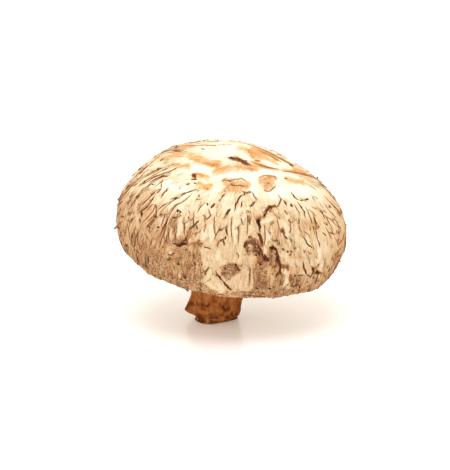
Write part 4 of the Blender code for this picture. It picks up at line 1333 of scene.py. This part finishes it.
    def bit_strokes(self, chance: random.Random) -> Iterable[tuple[float, Stroke]]:
        """Draws short stray fibres that lie every way, thickest in the brown skin near the margin.

        Args:
            chance: what decides.

        Returns:
            The strokes, each with the azimuth that it is laid at.
        """
        reach = self.form.reach / PIXEL
        for _ in range(self.bits):
            azimuth = chance.uniform(-math.pi, math.pi)
            top, length = chance.triangular(55, reach, reach), chance.uniform(2, 7)
            turn = chance.gauss(0.0, 0.8)
            marks = (Mark.FIBRE,)
            if top > self.brown_top:
                marks = (Mark.FIBRE, Mark.CRACK, Mark.THREAD, Mark.THREAD, Mark.RUST)
            line = ((0.0, top), (length * math.sin(turn), top + length * math.cos(turn)))
            yield azimuth, Stroke(chance.choice(marks), chance.uniform(0.7, 1.5), line)

    def lay_cells(self, canvas: Canvas) -> None:
        """Lays small scales, long down the cap, each a step lower at its foot, with cracks between some.

        Args:
            canvas: what is painted on.
        """
        warp = 0.7 * MM * self.mottle(2.5 * MM, 2, 11.3)
        place = (self.place(0.40) + warp[:, None]) / self.cell
        gap, step = np.empty(len(place)), np.empty(len(place))
        for i, at in enumerate(place.tolist()):
            near, sites = noise.voronoi(at)
            gap[i] = near[1] - near[0]
            step[i] = at[2] - sites[0][2]
        flank = smooth((self.arc / MM - 9) / 10)
        opened = smooth((self.mottle(6 * MM, 2, 23.0, 0.6) + 0.10) / 0.4)
        crack = (1 - smooth(gap / 0.16)) * opened * flank * (1 - 0.75 * self.seen)
        canvas.tone += (0.9 - canvas.tone) * crack * 0.3
        canvas.rise += flank * (1 - 0.4 * self.seen) * 0.16 * np.clip(step, -1, 1) - 0.35 * crack

    def lay_fibres(self, canvas: Canvas) -> None:
        """Lays fine dark fibres down the cap, let a little into the skin.

        Args:
            canvas: what is painted on.
        """
        flank = smooth((self.arc / MM - 12) / 14)
        place = self.place(0.09)
        place[:, :2] += 0.5 * MM * self.mottle(6 * MM, 1, 31.0)[:, None]
        for size, shift, strength in ((1.3 * MM, 41.0, 0.26), (0.8 * MM, 47.0, 0.20)):
            ridge = 1 - smooth(np.abs(noise_at(place, size, 1, shift)) / 0.10)
            here = smooth(self.mottle(3.5 * MM, 1, shift, 0.5) / 0.3)
            line = ridge * here * flank * (1 - 0.6 * canvas.grain) * (1 - 0.5 * self.seen)
            canvas.tone += line * strength
            canvas.rise -= line * 0.10
        canvas.tone[:] = np.clip(canvas.tone, 0, 1)


@dataclass(frozen=True)
class LooseEnd:
    """One listed loose shred: the pixel where it leaves the skin, and how it goes on."""

    root: Pair
    heading: float  # in degrees from straight down the cap
    length: float  # in millimetres, as are the next two
    width: float
    lift: float  # of its tip
    tone: float


@dataclass
class LooseSkin:
    """Torn tongues of skin and loose fibres: slips with their roots in the skin and their tips free."""

    skin: CapSkin
    name: str
    count: int
    by_hand: tuple[LooseEnd, ...]
    lengths: Pair  # in millimetres, as are the next four
    widths: Pair
    lifts: Pair
    thickness: float
    arcs: Pair
    turn: float  # how far most are turned from straight down, in degrees
    ragged: float  # how uneven their edges are, as a share of their width
    contrast: float  # how much a slip's tone differs from the skin at its root
    sunk: float  # how far it takes on the tone of the skin that it lies over
    across: int
    along: int
    seed: int

    def drawn(self) -> Array:
        """Draws the slips.

        Returns:
            Rows of azimuth, arc, heading, length, width, lift and tone, in radians and metres.
        """
        chance = np.random.default_rng(self.seed)
        azimuth = chance.uniform(-math.pi, math.pi, self.count)
        arc = np.sqrt(chance.uniform(self.arcs[0] ** 2, self.arcs[1] ** 2, self.count)) * MM
        canvas = self.skin.pattern(azimuth, arc).canvas()
        shift = chance.normal(0, self.contrast, self.count)
        tone = canvas.tone + np.where(canvas.tone > 0.5, -np.abs(shift) * 0.5, shift)
        length = chance.uniform(*self.lengths, self.count) * MM
        calm = 0.15 + 0.85 * smooth((arc / MM - 18) / 15)
        columns = (
            azimuth,
            arc,
            np.radians(chance.normal(0, self.turn, self.count)),
            np.minimum(length, self.skin.form.reach - arc),
            chance.uniform(*self.widths, self.count) * MM,
            chance.uniform(*self.lifts, self.count) ** 2 / self.lifts[1] * calm * MM,
            np.clip(tone, 0.06, 0.85),
        )
        return np.vstack((np.column_stack(columns), self.placed()))

    def placed(self) -> Array:
        """Places the slips that are given one by one.

        Returns:
            Such rows for them, each rooted under its pixel.
        """
        azimuth, arc = self.skin.under(np.array([end.root for end in self.by_hand]).reshape(-1, 2))
        rows = np.empty((len(self.by_hand), 7))
        for i, end in enumerate(self.by_hand):
            sizes = (end.length * MM, end.width * MM, end.lift * MM)
            rows[i] = azimuth[i], arc[i], math.radians(end.heading), *sizes, end.tone
        return rows

    def build(self) -> None:
        """Makes the piece."""
        rows, form = self.drawn(), self.skin.form
        azimuth, arc, heading, length, width, lift, tone = (rows[:, i, None] for i in range(7))
        unit, material = slip(self.across, self.along), self.skin.finish.material(self.name)
        piece, points = slips(self.name, unit, len(rows), material)
        across, along, layer = points[:, :, 0], points[:, :, 1], points[:, :, 2]
        chance = np.random.default_rng(self.seed + 1)
        stray = chance.normal(0, 1, (2, len(rows), self.along + 1, self.across + 1))
        own = (np.arange(len(rows))[:, None], np.rint(along * self.along).astype(int))
        own = (*own, np.rint((across + 0.5) * self.across).astype(int))
        sway, phase = chance.uniform(-0.14, 0.14, azimuth.shape), chance.uniform(0, 6.3, azimuth.shape)
        curl = chance.uniform(-1.0, 1.0, azimuth.shape)
        taper = 1 - 0.75 * along**2.5 - 0.25 * (1 - along) ** 2
        sideways = (across * taper + self.ragged * stray[0][own] * along) * width
        sideways = sideways + sway * length * np.sin(along * 2.6 + phase)
        down = (along + 0.5 * self.ragged * stray[1][own] * along**3) * length
        turned = np.cos(heading) * sideways - np.sin(heading) * down
        at_arc = arc + np.sin(heading) * sideways + np.cos(heading) * down
        radius, _ = form.at_arc(np.clip(at_arc, 2 * MM, form.reach))
        at_azimuth = azimuth - turned / radius
        thick = self.thickness * MM * (1 - 0.6 * along)
        raised = lift * along**1.7 * (1 + 1.4 * curl * across)
        above = form.stand(at_arc) - 0.40 * MM * (1 - along) ** 3 + 0.08 * MM + raised + (layer - 0.5) * thick
        over = np.maximum(at_arc - form.reach, 0.0)
        place = (at_azimuth, np.minimum(at_arc, form.reach), above, over)
        write_points(piece.data, form.skin(*(value.ravel() for value in place)))
        under = self.skin.pattern(at_azimuth.ravel(), np.clip(at_arc, 0, form.reach).ravel()).canvas()
        under_tone = under.tone.reshape(len(rows), -1)
        sunk = self.sunk + (1 - self.sunk) * smooth((under_tone - 0.55) / 0.12)
        # edge: the curled side of a lifted slip is made darker, more the more it curls and lifts; partly the
        # brown torn edge, partly painted shade of the curl
        edge = np.clip(2 * across * np.sign(curl), 0, 1) ** 2 * np.abs(curl) * smooth(lift / (0.5 * MM))
        tone = tone + (under_tone - tone) * sunk
        # shade: the slip's tone, darker at its torn tip, with painted shade on its underside that grows
        # towards the lifted tip
        shade = tone + 0.35 * edge * along + 0.20 * along**6 + 0.25 * (1 - layer) * along
        write_attribute(piece.data, "tone", np.clip(shade, 0, 1).ravel())
        write_attribute(piece.data, "warmth", np.full(shade.size, 0.15))
        write_attribute(piece.data, "grain", np.full(shade.size, 0.2))
        write_attribute(piece.data, "flow", form.flow(at_azimuth.ravel(), at_arc.ravel()))
        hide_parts("cap")

    @classmethod
    def shreds(cls, skin: CapSkin) -> "LooseSkin":
        """Torn tongues all over the flanks, and the few that stand out of the cap's outline.

        Args:
            skin: what carries them.

        Returns:
            The piece.
        """
        by_hand = (
            LooseEnd((325, 187), 40, 1.9, 0.4, 0.7, 0.75),
            LooseEnd((333, 193), 50, 1.5, 0.4, 0.6, 0.75),
            LooseEnd((117, 226), -20, 1.2, 0.9, 0.8, 0.75),
            LooseEnd((345, 222), 20, 1.0, 0.6, 0.5, 0.75),
            LooseEnd((340, 259), 10, 1.0, 0.5, 0.4, 0.75),
            LooseEnd((188, 286), 0, 2.2, 1.0, 0.4, 0.8),
            LooseEnd((316, 179), 50, 1.4, 0.6, 0.5, 0.7),
        )
        return cls(
            skin, "cap_shreds", count=280, by_hand=by_hand, lengths=(2.5, 6.5), widths=(0.9, 2.4),
            lifts=(0.04, 0.45), thickness=0.22, arcs=(18, 47), turn=16, ragged=0.16, contrast=0.08, sunk=0.5,
            across=4, along=6, seed=21,
        )

    @classmethod
    def fibres(cls, skin: CapSkin) -> "LooseSkin":
        """Fine fibres that lie along the flanks.

        Args:
            skin: what carries them.

        Returns:
            The piece.
        """
        return cls(
            skin, "cap_fibres", count=700, by_hand=(), lengths=(3.0, 9.0), widths=(0.12, 0.28),
            lifts=(0.0, 0.18), thickness=0.14, arcs=(12, 50), turn=12, ragged=0.1, contrast=0.18, sunk=0.75,
            across=1, along=8, seed=33,
        )


@dataclass
class Lines:
    """Cracks and fibres of the skin as narrow ribbons, let into it."""

    skin: CapSkin
    steps: int = 6
    raised: float = 0.07 * MM
    thickness: float = 0.30 * MM
    narrow: float = 0.9  # a ribbon's width, as a share of its stroke's
    seed: int = 12

    def paths(self) -> tuple[list[Stroke], Array, Array]:
        """Chooses the lines.

        Returns:
            The strokes, and rows of the azimuths and arcs that each goes through.
        """
        chance = np.random.default_rng(self.seed)
        front = [stroke for stroke in FRONT if stroke.thin]
        pixels = np.stack([stroke.along(self.steps) for stroke in front])
        pixels[:, 1:-1] += chance.normal(0, 0.30, pixels[:, 1:-1].shape)
        azimuth, arc = (row.reshape(len(front), -1) for row in self.skin.under(pixels.reshape(-1, 2)))
        pattern, drawn = self.skin.pattern(np.zeros(1), np.zeros(1)), random.Random(self.skin.seed)
        ruled = [(turn, stroke) for turn, stroke in pattern.rule_strokes(drawn) if stroke.thin]
        bits = list(pattern.bit_strokes(drawn))
        maps = np.stack([stroke.along(self.steps) for _, stroke in ruled + bits])
        maps[:, 1:-1] += chance.normal(0, 0.35, maps[:, 1:-1].shape)
        down = np.clip(maps[:, :, 1] * PIXEL, 0, self.skin.form.reach)
        turns = np.array([turn for turn, _ in ruled + bits])[:, None]
        turns = turns + maps[:, :, 0] * PIXEL / self.skin.form.at_arc(down)[0]
        middle = self.skin.pattern(turns[:, self.steps // 2], down[:, self.steps // 2])
        pale = 1 - smooth((middle.canvas().tone - 0.36) / 0.12)
        is_bit = np.arange(len(turns)) >= len(ruled)
        kept = chance.random(len(turns)) > middle.seen * np.where(is_bit, pale, 1.0)
        strokes = front + [stroke for (_, stroke), keep in zip(ruled + bits, kept) if keep]
        return strokes, np.vstack((azimuth, turns[kept])), np.vstack((arc, down[kept]))

    def build(self) -> None:
        """Makes the piece."""
        strokes, azimuth, arc = self.paths()
        form = self.skin.form
        unit, material = slip(1, self.steps), self.skin.finish.material("cap_lines")
        piece, points = slips("cap_lines", unit, len(strokes), material)
        across, along, layer = points[:, :, 0], points[:, :, 1], points[:, :, 2]
        own = (np.arange(len(strokes))[:, None], np.rint(along * self.steps).astype(int))
        radius, _ = form.at_arc(arc)
        run, fall = np.gradient(azimuth, axis=1) * radius, np.gradient(arc, axis=1)
        length = np.maximum(np.hypot(run, fall), 1e-9)
        half = np.array([stroke.width for stroke in strokes])[:, None] * PIXEL * self.narrow
        half = half * (1 - 0.85 * (2 * along - 1) ** 4) * across
        at_azimuth = azimuth[own] + (fall / length)[own] * half / radius[own]
        at_arc = np.clip(arc[own] - (run / length)[own] * half, 0, form.reach)
        pattern = self.skin.pattern(at_azimuth.ravel(), at_arc.ravel())
        rise = pattern.canvas().rise.reshape(at_arc.shape) * MM
        above = form.stand(at_arc) + rise + self.raised - (1 - layer) * self.thickness
        slide = 0.5 * np.clip(rise, 0.0, None)
        write_points(piece.data, form.skin(*(value.ravel() for value in (at_azimuth, at_arc, above, slide))))
        for name in ("tone", "warmth", "grain"):
            looks = np.array([getattr(stroke.mark.value, name) for stroke in strokes])
            write_attribute(piece.data, name, np.repeat(looks, points.shape[1]))
        write_attribute(piece.data, "flow", form.flow(at_azimuth.ravel(), at_arc.ravel()))
        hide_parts("cap")


@dataclass(frozen=True)
class GillFinish:
    """Matt cream gills, tan in places."""

    cream: Triple = linear(250, 222, 178)
    tan: Triple = linear(220, 172, 124)
    roughness: float = 0.75
    gloss: float = 0.0

    def material(self) -> bpy.types.Material:
        """The finish as a node material.

        Returns:
            The material.
        """
        graph = Graph("gill")
        place = graph.place()
        cloud, crumb = graph.noise(place, 4.5 * MM, 3.0), graph.noise(place, 0.5 * MM, 2.0)
        colour = graph.mix(cloud.between(-0.15, 0.2), self.cream, self.tan)
        looks = {"Base Color": colour, "Roughness": self.roughness, "Specular IOR Level": self.gloss}
        return graph.surface({**looks, "Normal": graph.bump(crumb, 0.1 * MM, 0.4)})


@dataclass
class Gills:
    """The ring of gills under the cap, and the thin layer of flesh that they hang from."""

    form: CapForm
    finish: GillFinish = GillFinish()
    count: int = 216
    stations: int = 9
    gap: float = 0.3 * MM
    layer: float = 0.9 * MM
    thickness: float = 0.26 * MM
    depth_stem: float = 4.0 * MM
    depth_margin: float = 3.1 * MM
    starts: tuple[float, ...] = (0.0, 0.55, 0.28, 0.7, 0.0, 0.62, 0.36, 0.5)  # of a full gill's length
    layer_rings: int = 12
    layer_sides: int = 48
    seed: int = 3

    def layer_section(self) -> list[Pair]:
        """The closed section of the flesh that the gills hang from."""
        radii = np.linspace(self.form.stem_hole, self.form.lip_edge - 2 * self.gap, self.layer_rings)
        top = [(float(r), float(self.form.ceiling(r)) - self.gap) for r in radii]
        return top + [(r, z - self.layer) for r, z in reversed(top)]

    def build(self) -> None:
        """Makes the piece: the layer, and thin upright plates with wavy lower edges under it."""
        chance = np.random.default_rng(self.seed)
        ring = spun(self.layer_section(), self.layer_sides, 1, closed=True)
        layer = mesh_piece("gill_layer", ring, self.finish.material())
        self.place(layer, read_points(layer.data))
        unit, material = slip(2, self.stations), layer.data.materials[0]
        blades, points = slips("gill_blades", unit, self.count, material)
        down, along, side = points[:, :, 0] + 0.5, points[:, :, 1], points[:, :, 2] - 0.5
        start = np.resize(self.starts, self.count)[:, None]
        first = self.form.stem_hole + self.gap
        last = self.form.lip_edge - 3 * self.gap
        radius = first + (last - first) * (start + (1 - start) * along)
        depth = self.depth_stem + (self.depth_margin - self.depth_stem) * (radius - first) / (last - first)
        depth *= chance.uniform(0.82, 1.0, start.shape) * np.where(start > 0, smooth(along * 4 + 0.3), 1.0)
        root = self.form.ceiling(radius) - self.gap - self.layer * 0.5
        wave, phase = chance.uniform(0.1, 0.3, start.shape) * MM, chance.uniform(0, 2 * math.pi, start.shape)
        thick = self.thickness * (1 - 0.6 * down)
        sideways = wave * np.sin(7 * along + phase) * down + side * thick
        turn = np.arange(self.count)[:, None] + chance.uniform(-0.12, 0.12, start.shape)
        azimuth = turn / self.count * 2 * math.pi
        cos, sin = np.cos(azimuth), np.sin(azimuth)
        height = root - (depth + self.layer * 0.5) * down
        placed = (radius * cos - sideways * sin, radius * sin + sideways * cos, height)
        self.place(blades, np.stack(placed, axis=-1).reshape(-1, 3))
        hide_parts("gills")
        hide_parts("gills")

    def place(self, piece: bpy.types.Object, points: Array) -> None:
        """Moves a piece from the round cap's frame to the real cap in the world.

        Args:
            piece: the piece.
            points: its points in that frame.
        """
        points[:, :2] *= self.form.outline_share(np.arctan2(points[:, 1], points[:, 0]))[:, None]
        write_points(piece.data, self.form.to_world(points))
        shape = bmesh.new()
        shape.from_mesh(piece.data)
        bmesh.ops.recalc_face_normals(shape, faces=shape.faces)
        shape.to_mesh(piece.data)
        shape.free()


@dataclass(frozen=True)
class StemFinish(SkinFinish):
    """Reddish-brown fibrous skin."""

    plain: Stops = (
        (0.00, linear(222, 170, 120)), (0.30, linear(194, 124, 70)), (0.50, linear(162, 95, 51)),
        (0.70, linear(122, 66, 35)), (1.00, linear(58, 24, 10)),
    )
    warm: Stops = ((0.00, linear(236, 184, 128)), (0.50, linear(176, 104, 52)), (1.00, linear(84, 36, 12)),)


STEM_FRONT = strokes_of(
    (Mark.PALE, (9, 222, 297, 222, 302)), (Mark.TAN, (8, 212, 306, 213, 314)),
    (Mark.FIBRE, (1.4, 228.5, 295, 229, 303), (1.2, 231.5, 295, 232, 303), (1.2, 234, 296, 234, 303),
     (1.4, 238.5, 297, 238, 305), (1.6, 214.5, 294, 214, 302, 216, 304)),
    (Mark.CRACK, (3.2, 193.5, 301, 194.5, 305), (2.6, 197, 302.5, 198, 306)),
    (Mark.SCAR, (2.4, 200, 303, 205, 307, 209, 304), (4.5, 224.5, 309, 228, 312, 232, 309)),
    (Mark.CRACK, (3.4, 234.5, 311.5, 234, 317)),
    (Mark.SCAR, (5, 196, 318, 203, 322), (4, 208, 318, 218, 318.5)),
    (Mark.CRACK, (2, 209, 322, 213, 322.5)),
    (Mark.SCAR, (4, 227, 319, 232, 319), (3, 187.5, 306, 189, 312)),
    (Mark.FIBRE, (2, 197, 292, 199, 298, 196, 301), (2, 202, 309, 205, 312, 208, 308)),
    (Mark.PALE, (8, 208, 311, 215.5, 308, 221, 311.5), (5, 226, 315, 232, 313), (5, 199, 311, 203, 314)),
    (Mark.FIBRE, (1.2, 190, 303, 196, 306, 201, 304.5, 207, 307), (1.0, 209, 305, 216, 307.5, 223, 306),
     (1.2, 196, 315, 204, 316.5, 210, 314.5, 218, 316), (1.0, 220, 314, 227, 316, 233, 313.5)),
    (Mark.PALE, (2.2, 200, 311, 206, 312.5), (2.0, 219, 310.5, 222, 311.5), (1.8, 210, 320.5, 215, 320.5)),
)


@dataclass
class Stem:
    """The short stem: a bent, fibrous, scaly tube, cut off roughly at its foot."""

    form: CapForm
    view: PhotoView
    finish: StemFinish = StemFinish()
    foot_radius: float = 7.0 * MM
    top_radius: float = 7.8 * MM
    bend_low: float = 0.50
    bend_high: float = 0.38
    gap: float = 0.3 * MM
    worn: float = 0.7 * MM  # of the foot's edge
    sides: int = 52
    cuts: int = 4
    rows: int = 110
    foot_rings: int = 9
    flake_azimuth: float = math.radians(186)  # of the flake that stands off its left side
    flake_turn: float = 0.14  # half its width, in radians
    flake_height: float = 3.2  # in millimetres, as is the next
    flake_spread: float = 0.9
    flake_rise: float = 1.0 * MM
    left: float = math.radians(176)  # azimuth of its left side
    left_side: tuple[Pair, ...] = (  # height and bulge in mm, as the photograph's outline shows
        (0.0, 0.25), (1.5, 0.25), (1.9, 2.3), (4.8, 2.4), (7.6, 1.65), (9.8, 1.2), (18.0, 0.0),
    )
    right_side: tuple[Pair, ...] = (
        (0.0, -0.9), (1.2, -0.7), (2.6, -0.4), (5.4, -0.1), (7.6, 0.3), (12.0, 0.3), (18.0, 0.0),
    )

    def spine(self, share: Array) -> Array:
        """The middle line, from the foot's middle to the cap's ceiling.

        Args:
            share: how far up points are, from 0 to 1.

        Returns:
            The points.
        """
        axis = np.array(self.form.lean.to_matrix() @ Vector((0.0, 0.0, 1.0)))
        top = np.array(self.form.centre) + axis * (self.form.ceiling_centre - self.gap)
        lower = np.array((0.0, 0.0, top[2] * self.bend_low))
        upper = top - axis * (top[2] * self.bend_high)
        share = share[:, None]
        rest = 1.0 - share
        return lower * (3 * rest**2 * share) + upper * (3 * rest * share**2) + top * share**3

    def build(self) -> None:
        """Makes the piece."""
        rings = [(float(r), 0.0) for r in np.linspace(0.0, 1.0, self.foot_rings)]
        side = [(1.0, float(h)) for h in np.linspace(0.0, 1.0, self.rows)[1:]]
        shape = spun(rings + side + [(0.0, 1.0)], self.sides, self.cuts)
        piece = mesh_piece("stem_skin", shape, self.finish.material("stem_skin"))
        points = read_points(piece.data)
        azimuth, share = np.arctan2(points[:, 1], points[:, 0]), points[:, 2]
        reach = np.hypot(points[:, 0], points[:, 1])
        canvas, relief, middle = self.canvas(azimuth, share)
        radius = self.foot_radius + (self.top_radius - self.foot_radius) * smooth(share * 1.5)
        height = middle[:, 2]
        edge = np.exp(-((height / (0.8 * MM)) ** 2)) * (share > 0)
        chipped = 1.0 + noise_at(polar(1.0, azimuth, 0 * azimuth), 0.5, 2, 6.0)
        ragged = noise_at(np.column_stack((azimuth * 3, 0 * azimuth, 0 * azimuth)), 1.0, 2, 8.0)
        low = height / MM - 0.3 * ragged * (share > 0)
        off = wrapped(azimuth - self.left) / (0.30 + 0.07 * height / MM)
        lean = np.exp(-(off**2)) * np.interp(low, *zip(*self.left_side)) * MM
        lean += smooth(1.4 * np.cos(azimuth)) * np.interp(height / MM, *zip(*self.right_side)) * MM
        beside = wrapped(azimuth - self.flake_azimuth) / self.flake_turn
        over = (height / MM - self.flake_height) / self.flake_spread
        radius = radius + lean + self.flake_rise * np.exp(-(beside**2 + over**2)) * (share < 0.9)
        chipped += smooth(np.cos(azimuth + 0.6))
        out = reach * (radius + relief - self.worn * chipped * edge * reach)
        placed = middle + polar(out, azimuth, 0 * azimuth)
        placed[:, 2] += 0.8 * MM * smooth(1.6 * np.cos(azimuth + 0.9) - 0.5) * np.exp(-height / MM) * reach**3
        write_points(piece.data, placed)
        for name in ("tone", "warmth", "grain"):
            write_attribute(piece.data, name, getattr(canvas, name))
        write_attribute(piece.data, "flow", polar(radius, azimuth, height))
        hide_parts("stem")

    def canvas(self, azimuth: Array, share: Array) -> tuple[Canvas, Array, Array]:
        """Paints the stem's skin.

        Args:
            azimuth: every point's turn about the stem.
            share: how far up it is, from 0 to 1.

        Returns:
            The canvas, its relief in metres, and the middle line beside each point.
        """
        middle = self.spine(share)
        height = middle[:, 2]
        ridge = noise_at(polar(self.top_radius, azimuth, 0.15 * height), 1.2 * MM, 3, 1.0)
        scale = noise_at(polar(self.top_radius, azimuth, 0.9 * height), 2.6 * MM, 2, 5.0)
        low = 1 - smooth((height / MM - 5) / 6)
        tone = 0.38 + 0.13 * low + 0.16 * ridge + 0.18 * scale * (0.4 + low)
        rise = 0.22 * ridge + 0.45 * scale * (0.4 + 0.6 * low)
        canvas = Canvas(tone, 0.6 - 0.4 * low, 0.3 + 0.4 * low, rise, 0 * rise)
        out = polar(1.0, azimuth, 0 * azimuth)
        world = middle + out * self.top_radius
        column, row = self.view.project(world)
        seen = smooth((self.view.facing(world, out) - 0.02) / 0.2) * (share > 0)
        wobble = noise_at(polar(self.top_radius, azimuth, height), 0.9 * MM, 2, 3.0) * 0.9
        for stroke in STEM_FRONT:
            canvas.paint(stroke, column + wobble, row + wobble, seen * 0.75)
        fade = smooth(height / (2.0 * MM))
        return canvas, canvas.rise * MM * fade, middle


@dataclass(frozen=True)
class Lamp:
    """A soft rectangular light."""

    name: str
    place: Triple
    size: Pair
    power: float
    colour: Triple

    def build(self, target: Vector) -> None:
        """Hangs the light.

        Args:
            target: the point that it is turned to.
        """
        data = bpy.data.lights.new(self.name, "AREA")
        data.shape = "RECTANGLE"
        data.size, data.size_y = self.size
        data.energy = self.power
        data.color = self.colour
        lamp = bpy.data.objects.new(self.name, data)
        lamp.location = self.place
        lamp.rotation_euler = (target - Vector(self.place)).to_track_quat("-Z", "Y").to_euler()
        bpy.context.scene.collection.objects.link(lamp)


@dataclass
class Studio:
    """A white floor, soft light from above and the photograph's camera."""

    view: PhotoView
    lamps: tuple[Lamp, ...] = (
        Lamp("above", (-0.10, -0.40, 1.15), (0.75, 0.75), 6.5, (0.93, 1.0, 1.12)),
        Lamp("back", (0.30, 0.90, 0.90), (0.9, 0.9), 1.5, (1.0, 1.0, 1.0)),
    )
    sky: Triple = (1.0, 0.95, 0.87)
    sky_strength: float = 0.90
    floor_size: float = 12.0
    floor_colour: Triple = (0.93, 0.93, 0.93)
    floor_glow: Triple = (1.0, 0.94, 0.84)
    glow_strength: float = 0.235
    floor_roughness: float = 0.25

    def build(self) -> None:
        """Makes the floor, the lights and the camera."""
        self.floor()
        for lamp in self.lamps:
            lamp.build(Vector(self.view.target))
        world = bpy.data.worlds.new("studio")
        bpy.context.scene.world = world
        world.use_nodes = True
        background = world.node_tree.nodes["Background"]
        background.inputs["Color"].default_value = (*self.sky, 1.0)
        background.inputs["Strength"].default_value = self.sky_strength
        self.camera()
        bpy.context.scene.view_settings.view_transform = "Standard"

    def floor(self) -> None:
        """A wide pale floor."""
        shape = bmesh.new()
        bmesh.ops.create_grid(shape, x_segments=1, y_segments=1, size=self.floor_size)
        mesh = bpy.data.meshes.new("floor")
        shape.to_mesh(mesh)
        shape.free()
        graph = Graph("floor")
        looks = {"Base Color": self.floor_colour, "Emission Color": self.floor_glow}
        looks |= {"Emission Strength": self.glow_strength, "Roughness": self.floor_roughness}
        mesh.materials.append(graph.surface(looks))
        floor = bpy.data.objects.new("floor", mesh)
        bpy.context.scene.collection.objects.link(floor)

    def camera(self) -> None:
        """The camera, where the photograph was taken from."""
        data = bpy.data.cameras.new("camera")
        data.lens = self.view.lens
        data.sensor_width = self.view.sensor
        data.clip_start = 0.01
        camera = bpy.data.objects.new("camera", data)
        camera.location = self.view.place
        camera.rotation_euler = self.view.toward.to_track_quat("-Z", "Y").to_euler()
        bpy.context.scene.collection.objects.link(camera)
        bpy.context.scene.camera = camera


def main() -> None:
    """Builds the mushroom and its studio."""
    logging.basicConfig(level=logging.INFO, format="%(message)s")
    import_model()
    form, view = CapForm(), PhotoView()
    skin = CapSkin(form, view)
    skin.build()
    Lines(skin).build()
    LooseSkin.shreds(skin).build()
    LooseSkin.fibres(skin).build()
    Gills(form).build()
    Stem(form, view).build()
    Studio(view).build()


if __name__ == "__main__":
    main()
